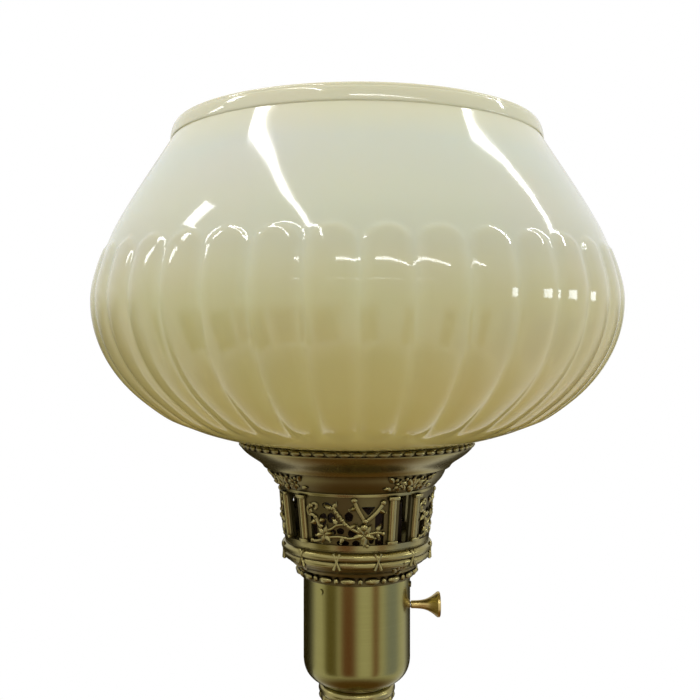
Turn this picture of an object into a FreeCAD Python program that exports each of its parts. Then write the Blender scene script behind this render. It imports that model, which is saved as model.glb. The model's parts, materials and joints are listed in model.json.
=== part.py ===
"""Torchiere floor lamp: a ribbed custard glass bowl in a pierced brass gallery, on a
fluted brass column with a weighted round base.

Millimetres, +Z up, origin on the floor under the centre of the column. The switch knob
points along +X and the cord inlet in the base faces +Y. Everything is stacked from the
floor upwards round one threaded pipe, the way the lamp is put together on a bench.
"""
import FreeCAD, Part
import math
import os

Vector = FreeCAD.Vector
UP = Vector(0, 0, 1)
ORIGIN = Vector(0, 0, 0)

# ---- Clearances ------------------------------------------------------------------
SLIP = 0.15  # a piece slipped over the pipe or into a seat
SHAFT_PLAY = 0.06  # the switch shaft in its bushing
REST_GAP = 0.1  # between the lift-off glass and its seat
MOVING_GAP = 0.4  # between other faces that move past each other

# ---- Threaded pipe that carries the whole column ------------------------------------
PIPE_R = 4.9
PIPE_BORE_R = 3.3
COUPLING_R = 7.2
COUPLING_LENGTH = 24.0
PIPE_HOLE_R = PIPE_R + SLIP
NUT_ACROSS_FLATS = 16.0
NUT_HEIGHT = 5.0
WASHER_R = 13.0
WASHER_THICKNESS = 1.5

# ---- Base --------------------------------------------------------------------------
BASE_R = 140.0
PAD_THICKNESS = 3.0
PAD_INSET = 5.0
PAD_WIDTH = 32.0
FOOT_HEIGHT = 16.0
FOOT_WIDTH = 14.0
FOOT_BEAD_R = 4.2
FOOT_BEAD_HEIGHT = 6.5  # of the bead's middle above the foot's bottom
SHELL_WALL = 1.5
SHELL_STEP_R = 66.0
SHELL_STEP_HEIGHT = 34.0
SHELL_TOP_R = 30.0
SHELL_TOP_HEIGHT = 74.0
WEIGHT_THICKNESS = 26.0
WEIGHT_EDGE = 10.0  # height of its upright edge, before the bevel
WEIGHT_BEVEL = 22.0
WEIGHT_GAP = 6.0
NUT_POCKET_R = 17.0
NUT_POCKET_DEPTH = 12.0
CORD_CHANNEL_WIDTH = 11.0
SPACER_WALL = 2.5
INLET_BORE_R = 3.75
INLET_WALL = 1.25
INLET_FLANGE_R = 6.0
INLET_FLANGE = 3.0
INLET_SEAT = 4.6  # how deep the flange's spot face lies inside the base's edge
INLET_TAIL = 4.0  # how far the bushing reaches in past the foot ring

# ---- Column ------------------------------------------------------------------------
LOWER_VASE_HEIGHT = 98.0
LOWER_VASE_R = 33.0
LOWER_VASE_CORE_R = 9.0
LOWER_VASE_CAP = 10.0  # of solid brass left over its core
LOWER_COLLAR_HEIGHT = 9.0
LOWER_COLLAR_R = 21.5
LOWER_COLUMN_LENGTH = 441.0
LOWER_COLUMN_R = 16.0
LOWER_FLUTES = 16
MIDDLE_CAP_HEIGHT = 10.0
MIDDLE_CAP_R = 21.5
MIDDLE_KNOP_HEIGHT = 62.0
MIDDLE_KNOP_R = 27.0
UPPER_CAP_HEIGHT = 9.0
UPPER_CAP_R = 17.5
UPPER_COLUMN_LENGTH = 516.0
UPPER_COLUMN_R = 12.5
UPPER_FLUTES = 12
NECK_COLLAR_HEIGHT = 9.0
NECK_COLLAR_R = 17.0
NECK_SPINDLE_HEIGHT = 72.0
NECK_SPINDLE_R = 18.0
COLUMN_WALL = 2.4
FLUTE_DEPTH = 1.1
FLUTE_R = 2.3
FLUTE_MARGIN = 12.0
SPIGOT_HEIGHT = 4.0  # how far each collar reaches into the tube it holds

# ---- Neck ring under the socket cup -------------------------------------------------
NECK_RING_HEIGHT = 11.0
NECK_RING_BEADS = 14
NECK_RING_BEAD_R = 4.5
NECK_RING_R = 21.3

# ---- Socket cup ----------------------------------------------------------------------
CUP_R = 28.8
CUP_WALL = 1.0
CUP_HEIGHT = 58.5
CUP_FLOOR_R = 18.5
CUP_CORNER = 14.0
CUP_SCREWS = 3
CUP_SCREW_R = 1.6
CUP_SCREW_HEAD = 0.5
CUP_SCREW_LENGTH = 3.4
CUP_SCREW_DROP = 5.2  # below the cup's top edge
CUP_SCREW_FIRST = -131.0  # degrees from +X

# ---- Gallery: base ring, pierced drum and shade holder -------------------------------
GALLERY_OVERLAP = 2.6  # how far its skirt covers the top of the cup
SKIRT_WALL = 1.4
SLEEVE_WALL = 1.4
SLEEVE_DEPTH = 7.5
BEAD_R = 2.3
BEAD_PROUD = 4.7  # of the bead ring beyond the cup
TORUS_R = 3.6
TORUS_PROUD = 1.6  # of the torus beyond the drum's bottom
GALLERY_BASE_HEIGHT = 22.0
DRUM_HEIGHT = 29.0
DRUM_TAPER = 3.2  # how much narrower the drum's bottom is than its top
DRUM_WALL = 2.2
DRUM_RAIL = 3.0
BAYS = 4
BAY_FIRST = 36.5 - 90.0  # degrees from +X of the first pair of pilasters
PANEL_ANGLE = 59.0
SLOT_ANGLE = 6.0
SPRAY_WIDTH = 3.4
THROAT_WALL = 3.4  # of the holder round the glass's neck
HOLDER_FLARE = 22.0  # of the holder's edge beyond the drum
HOLDER_HEIGHT = 23.4
HOLDER_WALL = 1.8
HOLDER_EDGE = 2.8
SEAT_WIDTH = 5.0  # of the ledge under the glass's neck
SEAT_HEIGHT = 2.5  # of the ledge above the holder's bottom

# ---- Glass shade ---------------------------------------------------------------------
SHADE_WALL = 4.0
SHADE_RIM_R = 97.2
SHADE_BAND_HEIGHT = 8.2
SHADE_BAND_FLARE = 1.2
SHADE_BELLY_R = 139.0
SHADE_HEIGHT = 186.4
SHADE_BELLY_DROP = 92.6  # from the rim down to the widest ring
SHADE_NECK_R = 36.5  # the standard 2 7/8 inch fitter
SHADE_NECK_HEIGHT = 13.5
SHADE_NECK_PLAY = 1.6  # round the neck, in a 3 inch throat
SHADE_EDGE_GAP = 0.7  # between the bowl's underside and the holder's edge
SHOULDER_ANGLE = 31.1  # of the cone at the rim band, in degrees from vertical
SHOULDER_PULL = 27.0
BELLY_PULL_UP = 24.0
BELLY_PULL_DOWN = 32.5
UNDERSIDE_PULL = 50.0
UNDERSIDE_ANGLE = 10.5

# ---- Lamp socket in the cup ------------------------------------------------------------
SOCKET_R = 24.2
SOCKET_STAND = 9.5  # of the porcelain above the cup's floor
SOCKET_BODY_HEIGHT = 52.0
SOCKET_CAVITY_R = 17.0
SOCKET_DECK = 9.0
CAP_R = 20.0
CAP_THICKNESS = 2.0
CAP_HUB_R = 8.0
CAP_HUB_HEIGHT = 7.0
SHELL_INNER_R = 19.95
SHELL_THICKNESS = 0.6
SHELL_HEIGHT = 33.0
SHELL_LIP = 4.0
COLLAR_HEIGHT = 35.0
COLLAR_GAP = 0.4
CENTRE_CONTACT_R = 4.0
CENTRE_CONTACT_HEIGHT = 4.0
RING_CONTACT_R = 10.4
RING_CONTACT_WIDTH = 2.6
RING_CONTACT_HEIGHT = 7.0
TERMINAL_HEIGHT = 12.0  # of the terminal screws above the porcelain's foot
TERMINAL_SCREW_R = 1.2
TERMINAL_HEAD_R = 2.6
TERMINAL_HEAD = 1.4
TERMINAL_DEPTH = 5.0

# ---- Switch ------------------------------------------------------------------------------
SWITCH_HEIGHT = 40.8  # of the shaft above the cup's bottom
SHAFT_R = 1.6
SHAFT_INNER_END = -10.0
BUSH_WALL = 0.9
ROTOR_R = 8.0
ROTOR_HALF_LENGTH = 7.0
LEAF_WIDTH = 5.0
LEAF_THICKNESS = 0.6
KNOB_REACH = 45.0
KNOB_R = 6.8
KNOB_STEM_R = 2.1
KNOB_EDGE = 1.5
KNOB_DISH = 1.0
KNOB_BORE_DEPTH = 8.0

# ---- Bulb ----------------------------------------------------------------------------------
BULB_R = 39.5
BULB_LENGTH = 176.0
BULB_WALL = 0.8
BULB_NECK_R = 18.7
BULB_SHELL_R = 19.4
BULB_SHELL_HEIGHT = 28.0
BULB_SHELL_WALL = 0.4
BULB_TIP_R = 3.2
BULB_TIP_HEIGHT = 3.0
BULB_INSULATOR_HEIGHT = 5.0
BULB_STEM_HEIGHT = 26.0
FILAMENT_SPAN = 16.0
LEAD_R = 0.5

# ---- Radii, each worked out from what the piece holds or stands on --------------------------
BEAD_OUT_R = CUP_R + BEAD_PROUD
DRUM_TOP_R = SHADE_NECK_R + SHADE_NECK_PLAY + THROAT_WALL
DRUM_BOTTOM_R = DRUM_TOP_R - DRUM_TAPER
TORUS_OUT_R = DRUM_BOTTOM_R + TORUS_PROUD
HOLDER_R = DRUM_TOP_R + HOLDER_FLARE

# ---- Heights, each worked out from what stands under it -----------------------------------
FOOT_Z = PAD_THICKNESS
SHELL_Z = FOOT_Z + FOOT_HEIGHT
BASE_TOP_Z = SHELL_Z + SHELL_TOP_HEIGHT
LOWER_COLLAR_Z = BASE_TOP_Z + LOWER_VASE_HEIGHT
LOWER_COLUMN_Z = LOWER_COLLAR_Z + LOWER_COLLAR_HEIGHT
MIDDLE_CAP_Z = LOWER_COLUMN_Z + LOWER_COLUMN_LENGTH
MIDDLE_KNOP_Z = MIDDLE_CAP_Z + MIDDLE_CAP_HEIGHT
UPPER_CAP_Z = MIDDLE_KNOP_Z + MIDDLE_KNOP_HEIGHT
UPPER_COLUMN_Z = UPPER_CAP_Z + UPPER_CAP_HEIGHT
NECK_COLLAR_Z = UPPER_COLUMN_Z + UPPER_COLUMN_LENGTH
NECK_SPINDLE_Z = NECK_COLLAR_Z + NECK_COLLAR_HEIGHT
NECK_RING_Z = NECK_SPINDLE_Z + NECK_SPINDLE_HEIGHT
CUP_Z = NECK_RING_Z + NECK_RING_HEIGHT
CUP_TOP_Z = CUP_Z + CUP_HEIGHT
GALLERY_Z = CUP_TOP_Z - GALLERY_OVERLAP
DRUM_Z = GALLERY_Z + GALLERY_BASE_HEIGHT
HOLDER_Z = DRUM_Z + DRUM_HEIGHT
HOLDER_TOP_Z = HOLDER_Z + HOLDER_HEIGHT
SEAT_Z = HOLDER_Z + SEAT_HEIGHT
SHADE_Z = SEAT_Z + REST_GAP
SHADE_TOP_Z = SHADE_Z + SHADE_HEIGHT
SOCKET_Z = CUP_Z + SOCKET_STAND
DECK_Z = SOCKET_Z + SOCKET_BODY_HEIGHT
SWITCH_Z = CUP_Z + SWITCH_HEIGHT
TIP_Z = DECK_Z + CENTRE_CONTACT_HEIGHT + REST_GAP
BULB_SHELL_Z = TIP_Z + BULB_TIP_HEIGHT - 1.0 + BULB_INSULATOR_HEIGHT
BULB_STEM_Z = BULB_SHELL_Z + BULB_SHELL_HEIGHT - 4.0
FILAMENT_Z = TIP_Z + BULB_LENGTH - BULB_R
WEIGHT_Z = FOOT_Z + 1.0
PIPE_BOTTOM_Z = WEIGHT_Z + NUT_POCKET_DEPTH - WASHER_THICKNESS - NUT_HEIGHT - 2.0
PIPE_JOINT_Z = MIDDLE_KNOP_Z + MIDDLE_KNOP_HEIGHT / 2
PIPE_TOP_Z = SOCKET_Z + CAP_HUB_HEIGHT - 1.0
INLET_Z = FOOT_Z + FOOT_HEIGHT / 2


class Outline:
    """A closed outline of radius and height, drawn point by point and turned round Z."""

    def __init__(self, r, z):
        self.start = self.here = Vector(r, 0, z)
        self.edges = []

    def line(self, r, z):
        return self._to(Part.LineSegment(self.here, Vector(r, 0, z)), r, z)

    def arc(self, through_r, through_z, r, z):
        through = Vector(through_r, 0, through_z)
        return self._to(Part.Arc(self.here, through, Vector(r, 0, z)), r, z)

    def curve(self, r1, z1, r2, z2, r, z):
        """A cubic from here to (r, z) with its two handles."""
        cubic = Part.BezierCurve()
        cubic.setPoles([self.here, Vector(r1, 0, z1), Vector(r2, 0, z2), Vector(r, 0, z)])
        return self._to(cubic, r, z)

    def turned(self):
        if self.here.distanceToPoint(self.start) > 1e-7:
            self.line(self.start.x, self.start.z)
        face = Part.Face(Part.Wire(self.edges))
        solid = face.revolve(ORIGIN, UP, 360)
        return solid if solid.Volume > 0 else solid.reversed()

    def _to(self, geometry, r, z):
        self.edges.append(geometry.toShape())
        self.here = Vector(r, 0, z)
        return self


def ring(inner_r, outer_r, z, height):
    tube = Part.makeCylinder(outer_r, height, Vector(0, 0, z))
    if inner_r <= 0:
        return tube
    return tube.cut(Part.makeCylinder(inner_r, height, Vector(0, 0, z)))


def around(radius, degrees, z):
    a = math.radians(degrees)
    return Vector(radius * math.cos(a), radius * math.sin(a), z)


def turned_copies(shape, count, first=0.0):
    """The shape repeated evenly round the column."""
    copies = []
    for k in range(count):
        copy = shape.copy()
        copy.rotate(ORIGIN, UP, first + 360.0 * k / count)
        copies.append(copy)
    return copies


def hex_nut(z, height, across_flats, hole_r):
    corner_r = across_flats / math.sqrt(3)
    corners = [around(corner_r, 60 * k, z) for k in range(7)]
    prism = Part.Face(Part.makePolygon(corners)).extrude(Vector(0, 0, height))
    chamfer = Outline(0, z).line(across_flats / 2, z).line(corner_r + 0.1, z + 1.0)
    chamfer.line(corner_r + 0.1, z + height - 1.0).line(across_flats / 2, z + height)
    chamfer.line(0, z + height)
    return prism.common(chamfer.turned()).cut(ring(0, hole_r, z, height))


def fluted_tube(outer_r, z, length, flutes):
    tube = ring(outer_r - COLUMN_WALL, outer_r, z, length)
    centre_r = outer_r + FLUTE_R - FLUTE_DEPTH
    low, high = z + FLUTE_MARGIN, z + length - FLUTE_MARGIN
    groove = Part.makeCylinder(FLUTE_R, high - low, Vector(centre_r, 0, low))
    ends = [Part.makeSphere(FLUTE_R, Vector(centre_r, 0, end)) for end in (low, high)]
    return tube.cut(turned_copies(groove.fuse(ends), flutes))


def collar(z, height, outer_r, spigots):
    """A turned collar with a rounded waist band; spigots = (below, above) tube radii."""
    step = height * 0.28
    outline = Outline(PIPE_HOLE_R, z).line(outer_r - 1.5, z).line(outer_r - 1.5, z + step)
    outline.arc(outer_r, z + height / 2, outer_r - 1.5, z + height - step)
    outline.line(outer_r - 1.5, z + height).line(PIPE_HOLE_R, z + height)
    body = outline.turned()
    for tube_r, start in zip(spigots, (z - SPIGOT_HEIGHT, z + height)):
        if tube_r:
            spigot_r = tube_r - COLUMN_WALL - SLIP
            body = body.fuse(ring(PIPE_HOLE_R, spigot_r, start, SPIGOT_HEIGHT))
    return body.removeSplitter()


# ---- Base ------------------------------------------------------------------------------
def base_pad():
    outer_r = BASE_R - PAD_INSET
    return ring(outer_r - PAD_WIDTH, outer_r, 0, PAD_THICKNESS)


def base_foot_ring():
    inner_r = BASE_R - FOOT_WIDTH
    z, top = FOOT_Z, FOOT_Z + FOOT_HEIGHT
    bead_z, neck_r = z + FOOT_BEAD_HEIGHT, BASE_R - FOOT_BEAD_R
    outline = Outline(inner_r, z).line(neck_r, z).line(neck_r, bead_z - FOOT_BEAD_R)
    outline.arc(BASE_R, bead_z, neck_r, bead_z + FOOT_BEAD_R)
    outline.line(neck_r - 0.6, bead_z + FOOT_BEAD_R + 1)
    outline.arc(neck_r - 2, top - 1, inner_r + 4, top).line(inner_r, top)
    hole = inlet_core(INLET_BORE_R + INLET_WALL + SLIP, inner_r - 2, FOOT_WIDTH)
    spot_face = inlet_core(INLET_FLANGE_R + SLIP, BASE_R - INLET_SEAT, FOOT_WIDTH)
    return outline.turned().cut(hole.fuse(spot_face))


def shell_outline(offset):
    """The dome's outside, or with an offset the plainer surface that far inside it."""
    foot_r = BASE_R - FOOT_WIDTH + 4
    step_z = SHELL_Z + SHELL_STEP_HEIGHT
    top_z = BASE_TOP_Z
    outline = Outline(0, SHELL_Z).line(foot_r - offset, SHELL_Z)
    outline.curve(foot_r - 3 - offset, SHELL_Z + 15 - offset,
                  SHELL_STEP_R + 20 - offset, step_z - 14 - offset,
                  SHELL_STEP_R - offset, step_z - offset)
    outline.line(SHELL_STEP_R - 4 - offset, step_z - offset)
    if offset == 0:
        outline.arc(SHELL_STEP_R - 2, step_z + 2.5, SHELL_STEP_R - 4, step_z + 5)
    outline.line(SHELL_STEP_R - 8 - offset, step_z + 5 - offset)
    outline.curve(SHELL_STEP_R - 22 - offset, step_z + 12 - offset,
                  SHELL_TOP_R + 2 - offset, top_z - 22 - offset,
                  SHELL_TOP_R - offset, top_z - offset)
    return outline.line(0, top_z - offset)


def base_shell():
    inside = shell_outline(SHELL_WALL).turned()
    mouth = ring(0, BASE_R - FOOT_WIDTH + 4 - SHELL_WALL, SHELL_Z - 1, 2)
    dome = shell_outline(0).turned().cut([inside, mouth])
    return dome.cut(ring(0, PIPE_HOLE_R, BASE_TOP_Z - 5, 10))


def base_weight():
    weight_r = BASE_R - FOOT_WIDTH - WEIGHT_GAP
    top_z = WEIGHT_Z + WEIGHT_THICKNESS
    outline = Outline(PIPE_HOLE_R, WEIGHT_Z).line(weight_r, WEIGHT_Z)
    outline.line(weight_r, WEIGHT_Z + WEIGHT_EDGE).line(weight_r - WEIGHT_BEVEL, top_z)
    weight = outline.line(PIPE_HOLE_R, top_z).turned()
    corner = Vector(-CORD_CHANNEL_WIDTH / 2, 0, WEIGHT_Z)
    channel = Part.makeBox(CORD_CHANNEL_WIDTH, weight_r, NUT_POCKET_DEPTH, corner)
    return weight.cut([channel, ring(0, NUT_POCKET_R, WEIGHT_Z, NUT_POCKET_DEPTH)])


def base_spacer():
    """The tube that carries the clamping force from the weight up to the dome's top."""
    z = WEIGHT_Z + WEIGHT_THICKNESS
    return ring(PIPE_HOLE_R, PIPE_HOLE_R + SPACER_WALL, z, BASE_TOP_Z - SHELL_WALL - z)


def base_washer():
    z = WEIGHT_Z + NUT_POCKET_DEPTH - WASHER_THICKNESS
    return ring(PIPE_HOLE_R, WASHER_R, z, WASHER_THICKNESS)


def base_nut():
    z = WEIGHT_Z + NUT_POCKET_DEPTH - WASHER_THICKNESS - NUT_HEIGHT
    return hex_nut(z, NUT_HEIGHT, NUT_ACROSS_FLATS, PIPE_R)


def inlet_core(radius, start, length):
    """A cylinder along +Y on the cord inlet's axis."""
    return Part.makeCylinder(radius, length, Vector(0, start, INLET_Z), Vector(0, 1, 0))


def cord_bushing():
    start = BASE_R - FOOT_WIDTH - INLET_TAIL
    flange_start = BASE_R - INLET_SEAT
    tube = inlet_core(INLET_BORE_R + INLET_WALL, start, flange_start - start)
    flange = inlet_core(INLET_FLANGE_R, flange_start, INLET_FLANGE)
    bore = inlet_core(INLET_BORE_R, start, flange_start + INLET_FLANGE - start)
    return tube.fuse(flange).removeSplitter().cut(bore)


# ---- Pipe ------------------------------------------------------------------------------
def lower_pipe():
    return ring(PIPE_BORE_R, PIPE_R, PIPE_BOTTOM_Z, PIPE_JOINT_Z - PIPE_BOTTOM_Z)


def upper_pipe():
    return ring(PIPE_BORE_R, PIPE_R, PIPE_JOINT_Z, PIPE_TOP_Z - PIPE_JOINT_Z)


def pipe_coupling():
    return ring(PIPE_R, COUPLING_R, PIPE_JOINT_Z - COUPLING_LENGTH / 2, COUPLING_LENGTH)


# ---- Column ----------------------------------------------------------------------------
def lower_vase():
    z, top, body_r = BASE_TOP_Z, LOWER_COLLAR_Z, LOWER_VASE_R
    outline = Outline(PIPE_HOLE_R, z).line(SHELL_TOP_R - 3, z)
    outline.arc(SHELL_TOP_R, z + 4, SHELL_TOP_R - 3, z + 8).line(SHELL_TOP_R - 8, z + 10)
    outline.curve(SHELL_TOP_R - 9, z + 16, body_r, z + 20, body_r, z + 36)
    outline.curve(body_r, z + 56, LOWER_COLUMN_R - 3, top - 36, LOWER_COLUMN_R - 3, top - 14)
    outline.arc(LOWER_COLUMN_R + 1, top - 11, LOWER_COLUMN_R - 1, top - 7)
    outline.line(LOWER_COLLAR_R - 1.5, top).line(PIPE_HOLE_R, top)
    core = ring(0, LOWER_VASE_CORE_R, z, LOWER_VASE_HEIGHT - LOWER_VASE_CAP)
    return outline.turned().cut(core)


def lower_collar():
    return collar(LOWER_COLLAR_Z, LOWER_COLLAR_HEIGHT, LOWER_COLLAR_R,
                  (None, LOWER_COLUMN_R))


def lower_column():
    return fluted_tube(LOWER_COLUMN_R, LOWER_COLUMN_Z, LOWER_COLUMN_LENGTH, LOWER_FLUTES)


def middle_cap():
    return collar(MIDDLE_CAP_Z, MIDDLE_CAP_HEIGHT, MIDDLE_CAP_R, (LOWER_COLUMN_R, None))


def middle_knop():
    z, top, body_r = MIDDLE_KNOP_Z, UPPER_CAP_Z, MIDDLE_KNOP_R
    middle = (z + top) / 2
    outline = Outline(PIPE_HOLE_R, z).line(MIDDLE_CAP_R - 3, z)
    outline.curve(MIDDLE_CAP_R - 9, z + 9, body_r, z + 12, body_r, middle - 1)
    outline.curve(body_r, middle + 14, UPPER_CAP_R - 7, top - 14, UPPER_CAP_R - 3, top)
    outline.line(PIPE_HOLE_R, top)
    pocket_r = COUPLING_R + SLIP
    pocket = ring(0, pocket_r, middle - COUPLING_LENGTH / 2 - 1, COUPLING_LENGTH + 2)
    return outline.turned().cut(pocket)


def upper_cap():
    return collar(UPPER_CAP_Z, UPPER_CAP_HEIGHT, UPPER_CAP_R, (None, UPPER_COLUMN_R))


def upper_column():
    return fluted_tube(UPPER_COLUMN_R, UPPER_COLUMN_Z, UPPER_COLUMN_LENGTH, UPPER_FLUTES)


def neck_collar():
    return collar(NECK_COLLAR_Z, NECK_COLLAR_HEIGHT, NECK_COLLAR_R, (UPPER_COLUMN_R, None))


def neck_spindle():
    z, top, body_r = NECK_SPINDLE_Z, NECK_RING_Z, NECK_SPINDLE_R
    outline = Outline(PIPE_HOLE_R, z).line(NECK_COLLAR_R - 3, z)
    outline.curve(NECK_COLLAR_R - 9, z + 7, body_r, z + 14, body_r, z + 26)
    outline.curve(body_r, z + 44, 9, top - 28, 9, top - 12)
    outline.arc(12.5, top - 9.5, 10, top - 7)
    outline.curve(10, top - 3, 13, top - 2, NECK_RING_R - 5, top)
    return outline.line(PIPE_HOLE_R, top).turned()


def neck_ring():
    bead_r = NECK_RING_BEAD_R
    centre_r = NECK_RING_R - bead_r
    bead_z = NECK_RING_Z + bead_r
    outline = Outline(PIPE_HOLE_R, NECK_RING_Z).line(centre_r - 0.5, NECK_RING_Z)
    outline.line(centre_r + 1, bead_z - 2).line(centre_r + 1, bead_z + 2)
    outline.line(CUP_FLOOR_R, CUP_Z - 1.5).line(CUP_FLOOR_R, CUP_Z)
    outline.line(PIPE_HOLE_R, CUP_Z)
    bead = Part.makeSphere(bead_r, Vector(centre_r, 0, bead_z))
    beads = turned_copies(bead, NECK_RING_BEADS, 180.0 / NECK_RING_BEADS)
    return outline.turned().fuse(beads).removeSplitter()


# ---- Socket cup ------------------------------------------------------------------------
def cup_outline(inset):
    z, outer_r, corner_z = CUP_Z + inset, CUP_R - inset, CUP_Z + CUP_CORNER
    outline = Outline(0, z).line(CUP_FLOOR_R, z)
    outline.curve(CUP_FLOOR_R + 6.5, z + 2.5, outer_r, z + 6, outer_r, corner_z)
    return outline.line(outer_r, CUP_TOP_Z).line(0, CUP_TOP_Z)


def cup_screw_pin(radius, inner_r, outer_r):
    """A plain pin through the cup wall at the first cup screw."""
    z = CUP_TOP_Z - CUP_SCREW_DROP
    direction = around(1, 0, 0)
    return Part.makeCylinder(radius, outer_r - inner_r, Vector(inner_r, 0, z), direction)


def socket_cup():
    cup = cup_outline(0).turned().cut(cup_outline(CUP_WALL).turned())
    cup = cup.cut(ring(0, PIPE_HOLE_R, CUP_Z - 1, CUP_WALL + 2))
    shaft_hole = Part.makeCylinder(SHAFT_R + 0.8, CUP_WALL + 4,
                                   Vector(CUP_R - CUP_WALL - 2, 0, SWITCH_Z), Vector(1, 0, 0))
    pins = turned_copies(cup_screw_pin(CUP_SCREW_R * 0.6 + SLIP, CUP_R - 4, CUP_R + 2),
                         CUP_SCREWS, CUP_SCREW_FIRST)
    return cup.cut([shaft_hole] + pins)


def cup_screws():
    tip_r = CUP_R - CUP_SCREW_LENGTH
    shank = cup_screw_pin(CUP_SCREW_R * 0.6, tip_r, CUP_R + SLIP)
    head = cup_screw_pin(CUP_SCREW_R, CUP_R + SLIP, CUP_R + SLIP + CUP_SCREW_HEAD)
    screw = shank.fuse(head).removeSplitter()
    return Part.makeCompound(turned_copies(screw, CUP_SCREWS, CUP_SCREW_FIRST))


# ---- Gallery ---------------------------------------------------------------------------
def gallery_base():
    z, top = GALLERY_Z, DRUM_Z
    skirt_in = CUP_R + SLIP
    skirt_out = skirt_in + SKIRT_WALL
    bead_z = z + 3.1 + BEAD_R
    bead_r = BEAD_OUT_R - BEAD_R
    torus_z = top - TORUS_R - 1.3
    torus_r = TORUS_OUT_R - TORUS_R
    sleeve_out = CUP_R - CUP_WALL - SLIP
    sleeve_in = sleeve_out - SLEEVE_WALL
    outline = Outline(skirt_in, z).line(skirt_out, z).line(skirt_out, bead_z - BEAD_R)
    outline.line(bead_r, bead_z - BEAD_R).arc(BEAD_OUT_R, bead_z, bead_r, bead_z + BEAD_R)
    outline.line(bead_r + 2, bead_z + BEAD_R)
    outline.curve(bead_r + 5, bead_z + BEAD_R + 1.5, TORUS_OUT_R - 2, torus_z - TORUS_R - 3,
                  TORUS_OUT_R - 1, torus_z - TORUS_R)
    outline.line(torus_r, torus_z - TORUS_R)
    outline.arc(TORUS_OUT_R, torus_z, torus_r, torus_z + TORUS_R)
    outline.line(DRUM_BOTTOM_R + 0.6, torus_z + TORUS_R).line(DRUM_BOTTOM_R + 0.6, top - 1)
    outline.line(DRUM_BOTTOM_R, top).line(DRUM_BOTTOM_R - DRUM_WALL, top)
    outline.line(DRUM_BOTTOM_R - DRUM_WALL, torus_z)
    outline.line(sleeve_in, CUP_TOP_Z + SLIP + 2).line(sleeve_in, CUP_TOP_Z - SLEEVE_DEPTH)
    outline.line(sleeve_out, CUP_TOP_Z - SLEEVE_DEPTH).line(sleeve_out, CUP_TOP_Z + SLIP)
    outline.line(skirt_in, CUP_TOP_Z + SLIP)
    pins = turned_copies(cup_screw_pin(CUP_SCREW_R * 0.6, sleeve_in - 2, CUP_R),
                         CUP_SCREWS, CUP_SCREW_FIRST)
    return outline.turned().cut(pins)


def drum_wall(z, height):
    """The drum's tapered wall between two heights."""
    def outer_r(at):
        return DRUM_BOTTOM_R + (DRUM_TOP_R - DRUM_BOTTOM_R) * (at - DRUM_Z) / DRUM_HEIGHT
    low, high = outer_r(z), outer_r(z + height)
    outline = Outline(low - DRUM_WALL, z).line(low, z).line(high, z + height)
    return outline.line(high - DRUM_WALL, z + height).turned()


def wedge(from_degrees, to_degrees, z, height):
    """A pie slice round the column, wider than the drum."""
    reach = DRUM_TOP_R * 1.6
    count = max(2, math.ceil((to_degrees - from_degrees) / 30.0))
    step = (to_degrees - from_degrees) / count
    rim = [around(reach, from_degrees + step * k, z) for k in range(count + 1)]
    outline = Part.makePolygon([Vector(0, 0, z)] + rim + [Vector(0, 0, z)])
    return Part.Face(outline).extrude(Vector(0, 0, height))


def spray_bar(start_degrees, end_degrees, low, high):
    """A slanting bar across a window, cut out of the drum's own wall."""
    reach = DRUM_TOP_R * 1.6
    middle = math.radians((start_degrees + end_degrees) / 2)
    across = (math.radians(end_degrees - start_degrees)) * DRUM_TOP_R
    outward = Vector(math.cos(middle), math.sin(middle), 0)
    sideways = Vector(-math.sin(middle), math.cos(middle), 0)
    run = sideways * across + UP * (high - low)
    half = outward.cross(run).normalize() * (SPRAY_WIDTH / 2)
    start = sideways * (-across / 2) + UP * low
    corners = [start - half, start + run - half, start + run + half, start + half]
    face = Part.Face(Part.makePolygon(corners + corners[:1]))
    return face.extrude(outward * reach)


def gallery_drum():
    rail, top_rail = DRUM_RAIL, DRUM_RAIL * 0.6
    window_z, window_height = DRUM_Z + rail, DRUM_HEIGHT - rail - top_rail
    drum = drum_wall(DRUM_Z, DRUM_HEIGHT)
    openings = []
    for k in range(BAYS):
        pilasters = BAY_FIRST + 360.0 / BAYS * k
        panel = pilasters + 180.0 / BAYS
        window = wedge(panel - PANEL_ANGLE / 2, panel + PANEL_ANGLE / 2, window_z,
                       window_height)
        bars = [spray_bar(panel - sign * PANEL_ANGLE / 2, panel + sign * PANEL_ANGLE / 2,
                          window_z, window_z + window_height) for sign in (1, -1)]
        openings.append(window.cut(bars))
        openings.append(wedge(pilasters - SLOT_ANGLE / 2, pilasters + SLOT_ANGLE / 2,
                              window_z, window_height))
    return drum.cut(openings)


def holder_outer(outline):
    """The flared outside of the holder, from its bottom up to its edge."""
    z = HOLDER_Z
    edge_z = HOLDER_TOP_Z - HOLDER_EDGE
    outline.line(DRUM_TOP_R + 0.4, z).curve(DRUM_TOP_R + 4.6, z + 8, HOLDER_R - 12.5,
                                            edge_z - 7.5, HOLDER_R - 1.2, edge_z)
    return outline.arc(HOLDER_R, edge_z + HOLDER_EDGE / 2, HOLDER_R - 1.2, HOLDER_TOP_Z)


def shade_holder():
    z = HOLDER_Z
    edge_z = HOLDER_TOP_Z - HOLDER_EDGE
    throat_r = SHADE_NECK_R + SHADE_NECK_PLAY
    seat_bore_r = throat_r - SEAT_WIDTH - SHADE_NECK_PLAY
    outline = holder_outer(Outline(seat_bore_r, z))
    outline.line(HOLDER_R - 1.2 - HOLDER_WALL, HOLDER_TOP_Z - 0.4)
    outline.curve(HOLDER_R - 13, edge_z - 4.5, throat_r + 0.5, SEAT_Z + 3.5,
                  throat_r, SEAT_Z)
    return outline.line(seat_bore_r, SEAT_Z).turned()


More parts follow.
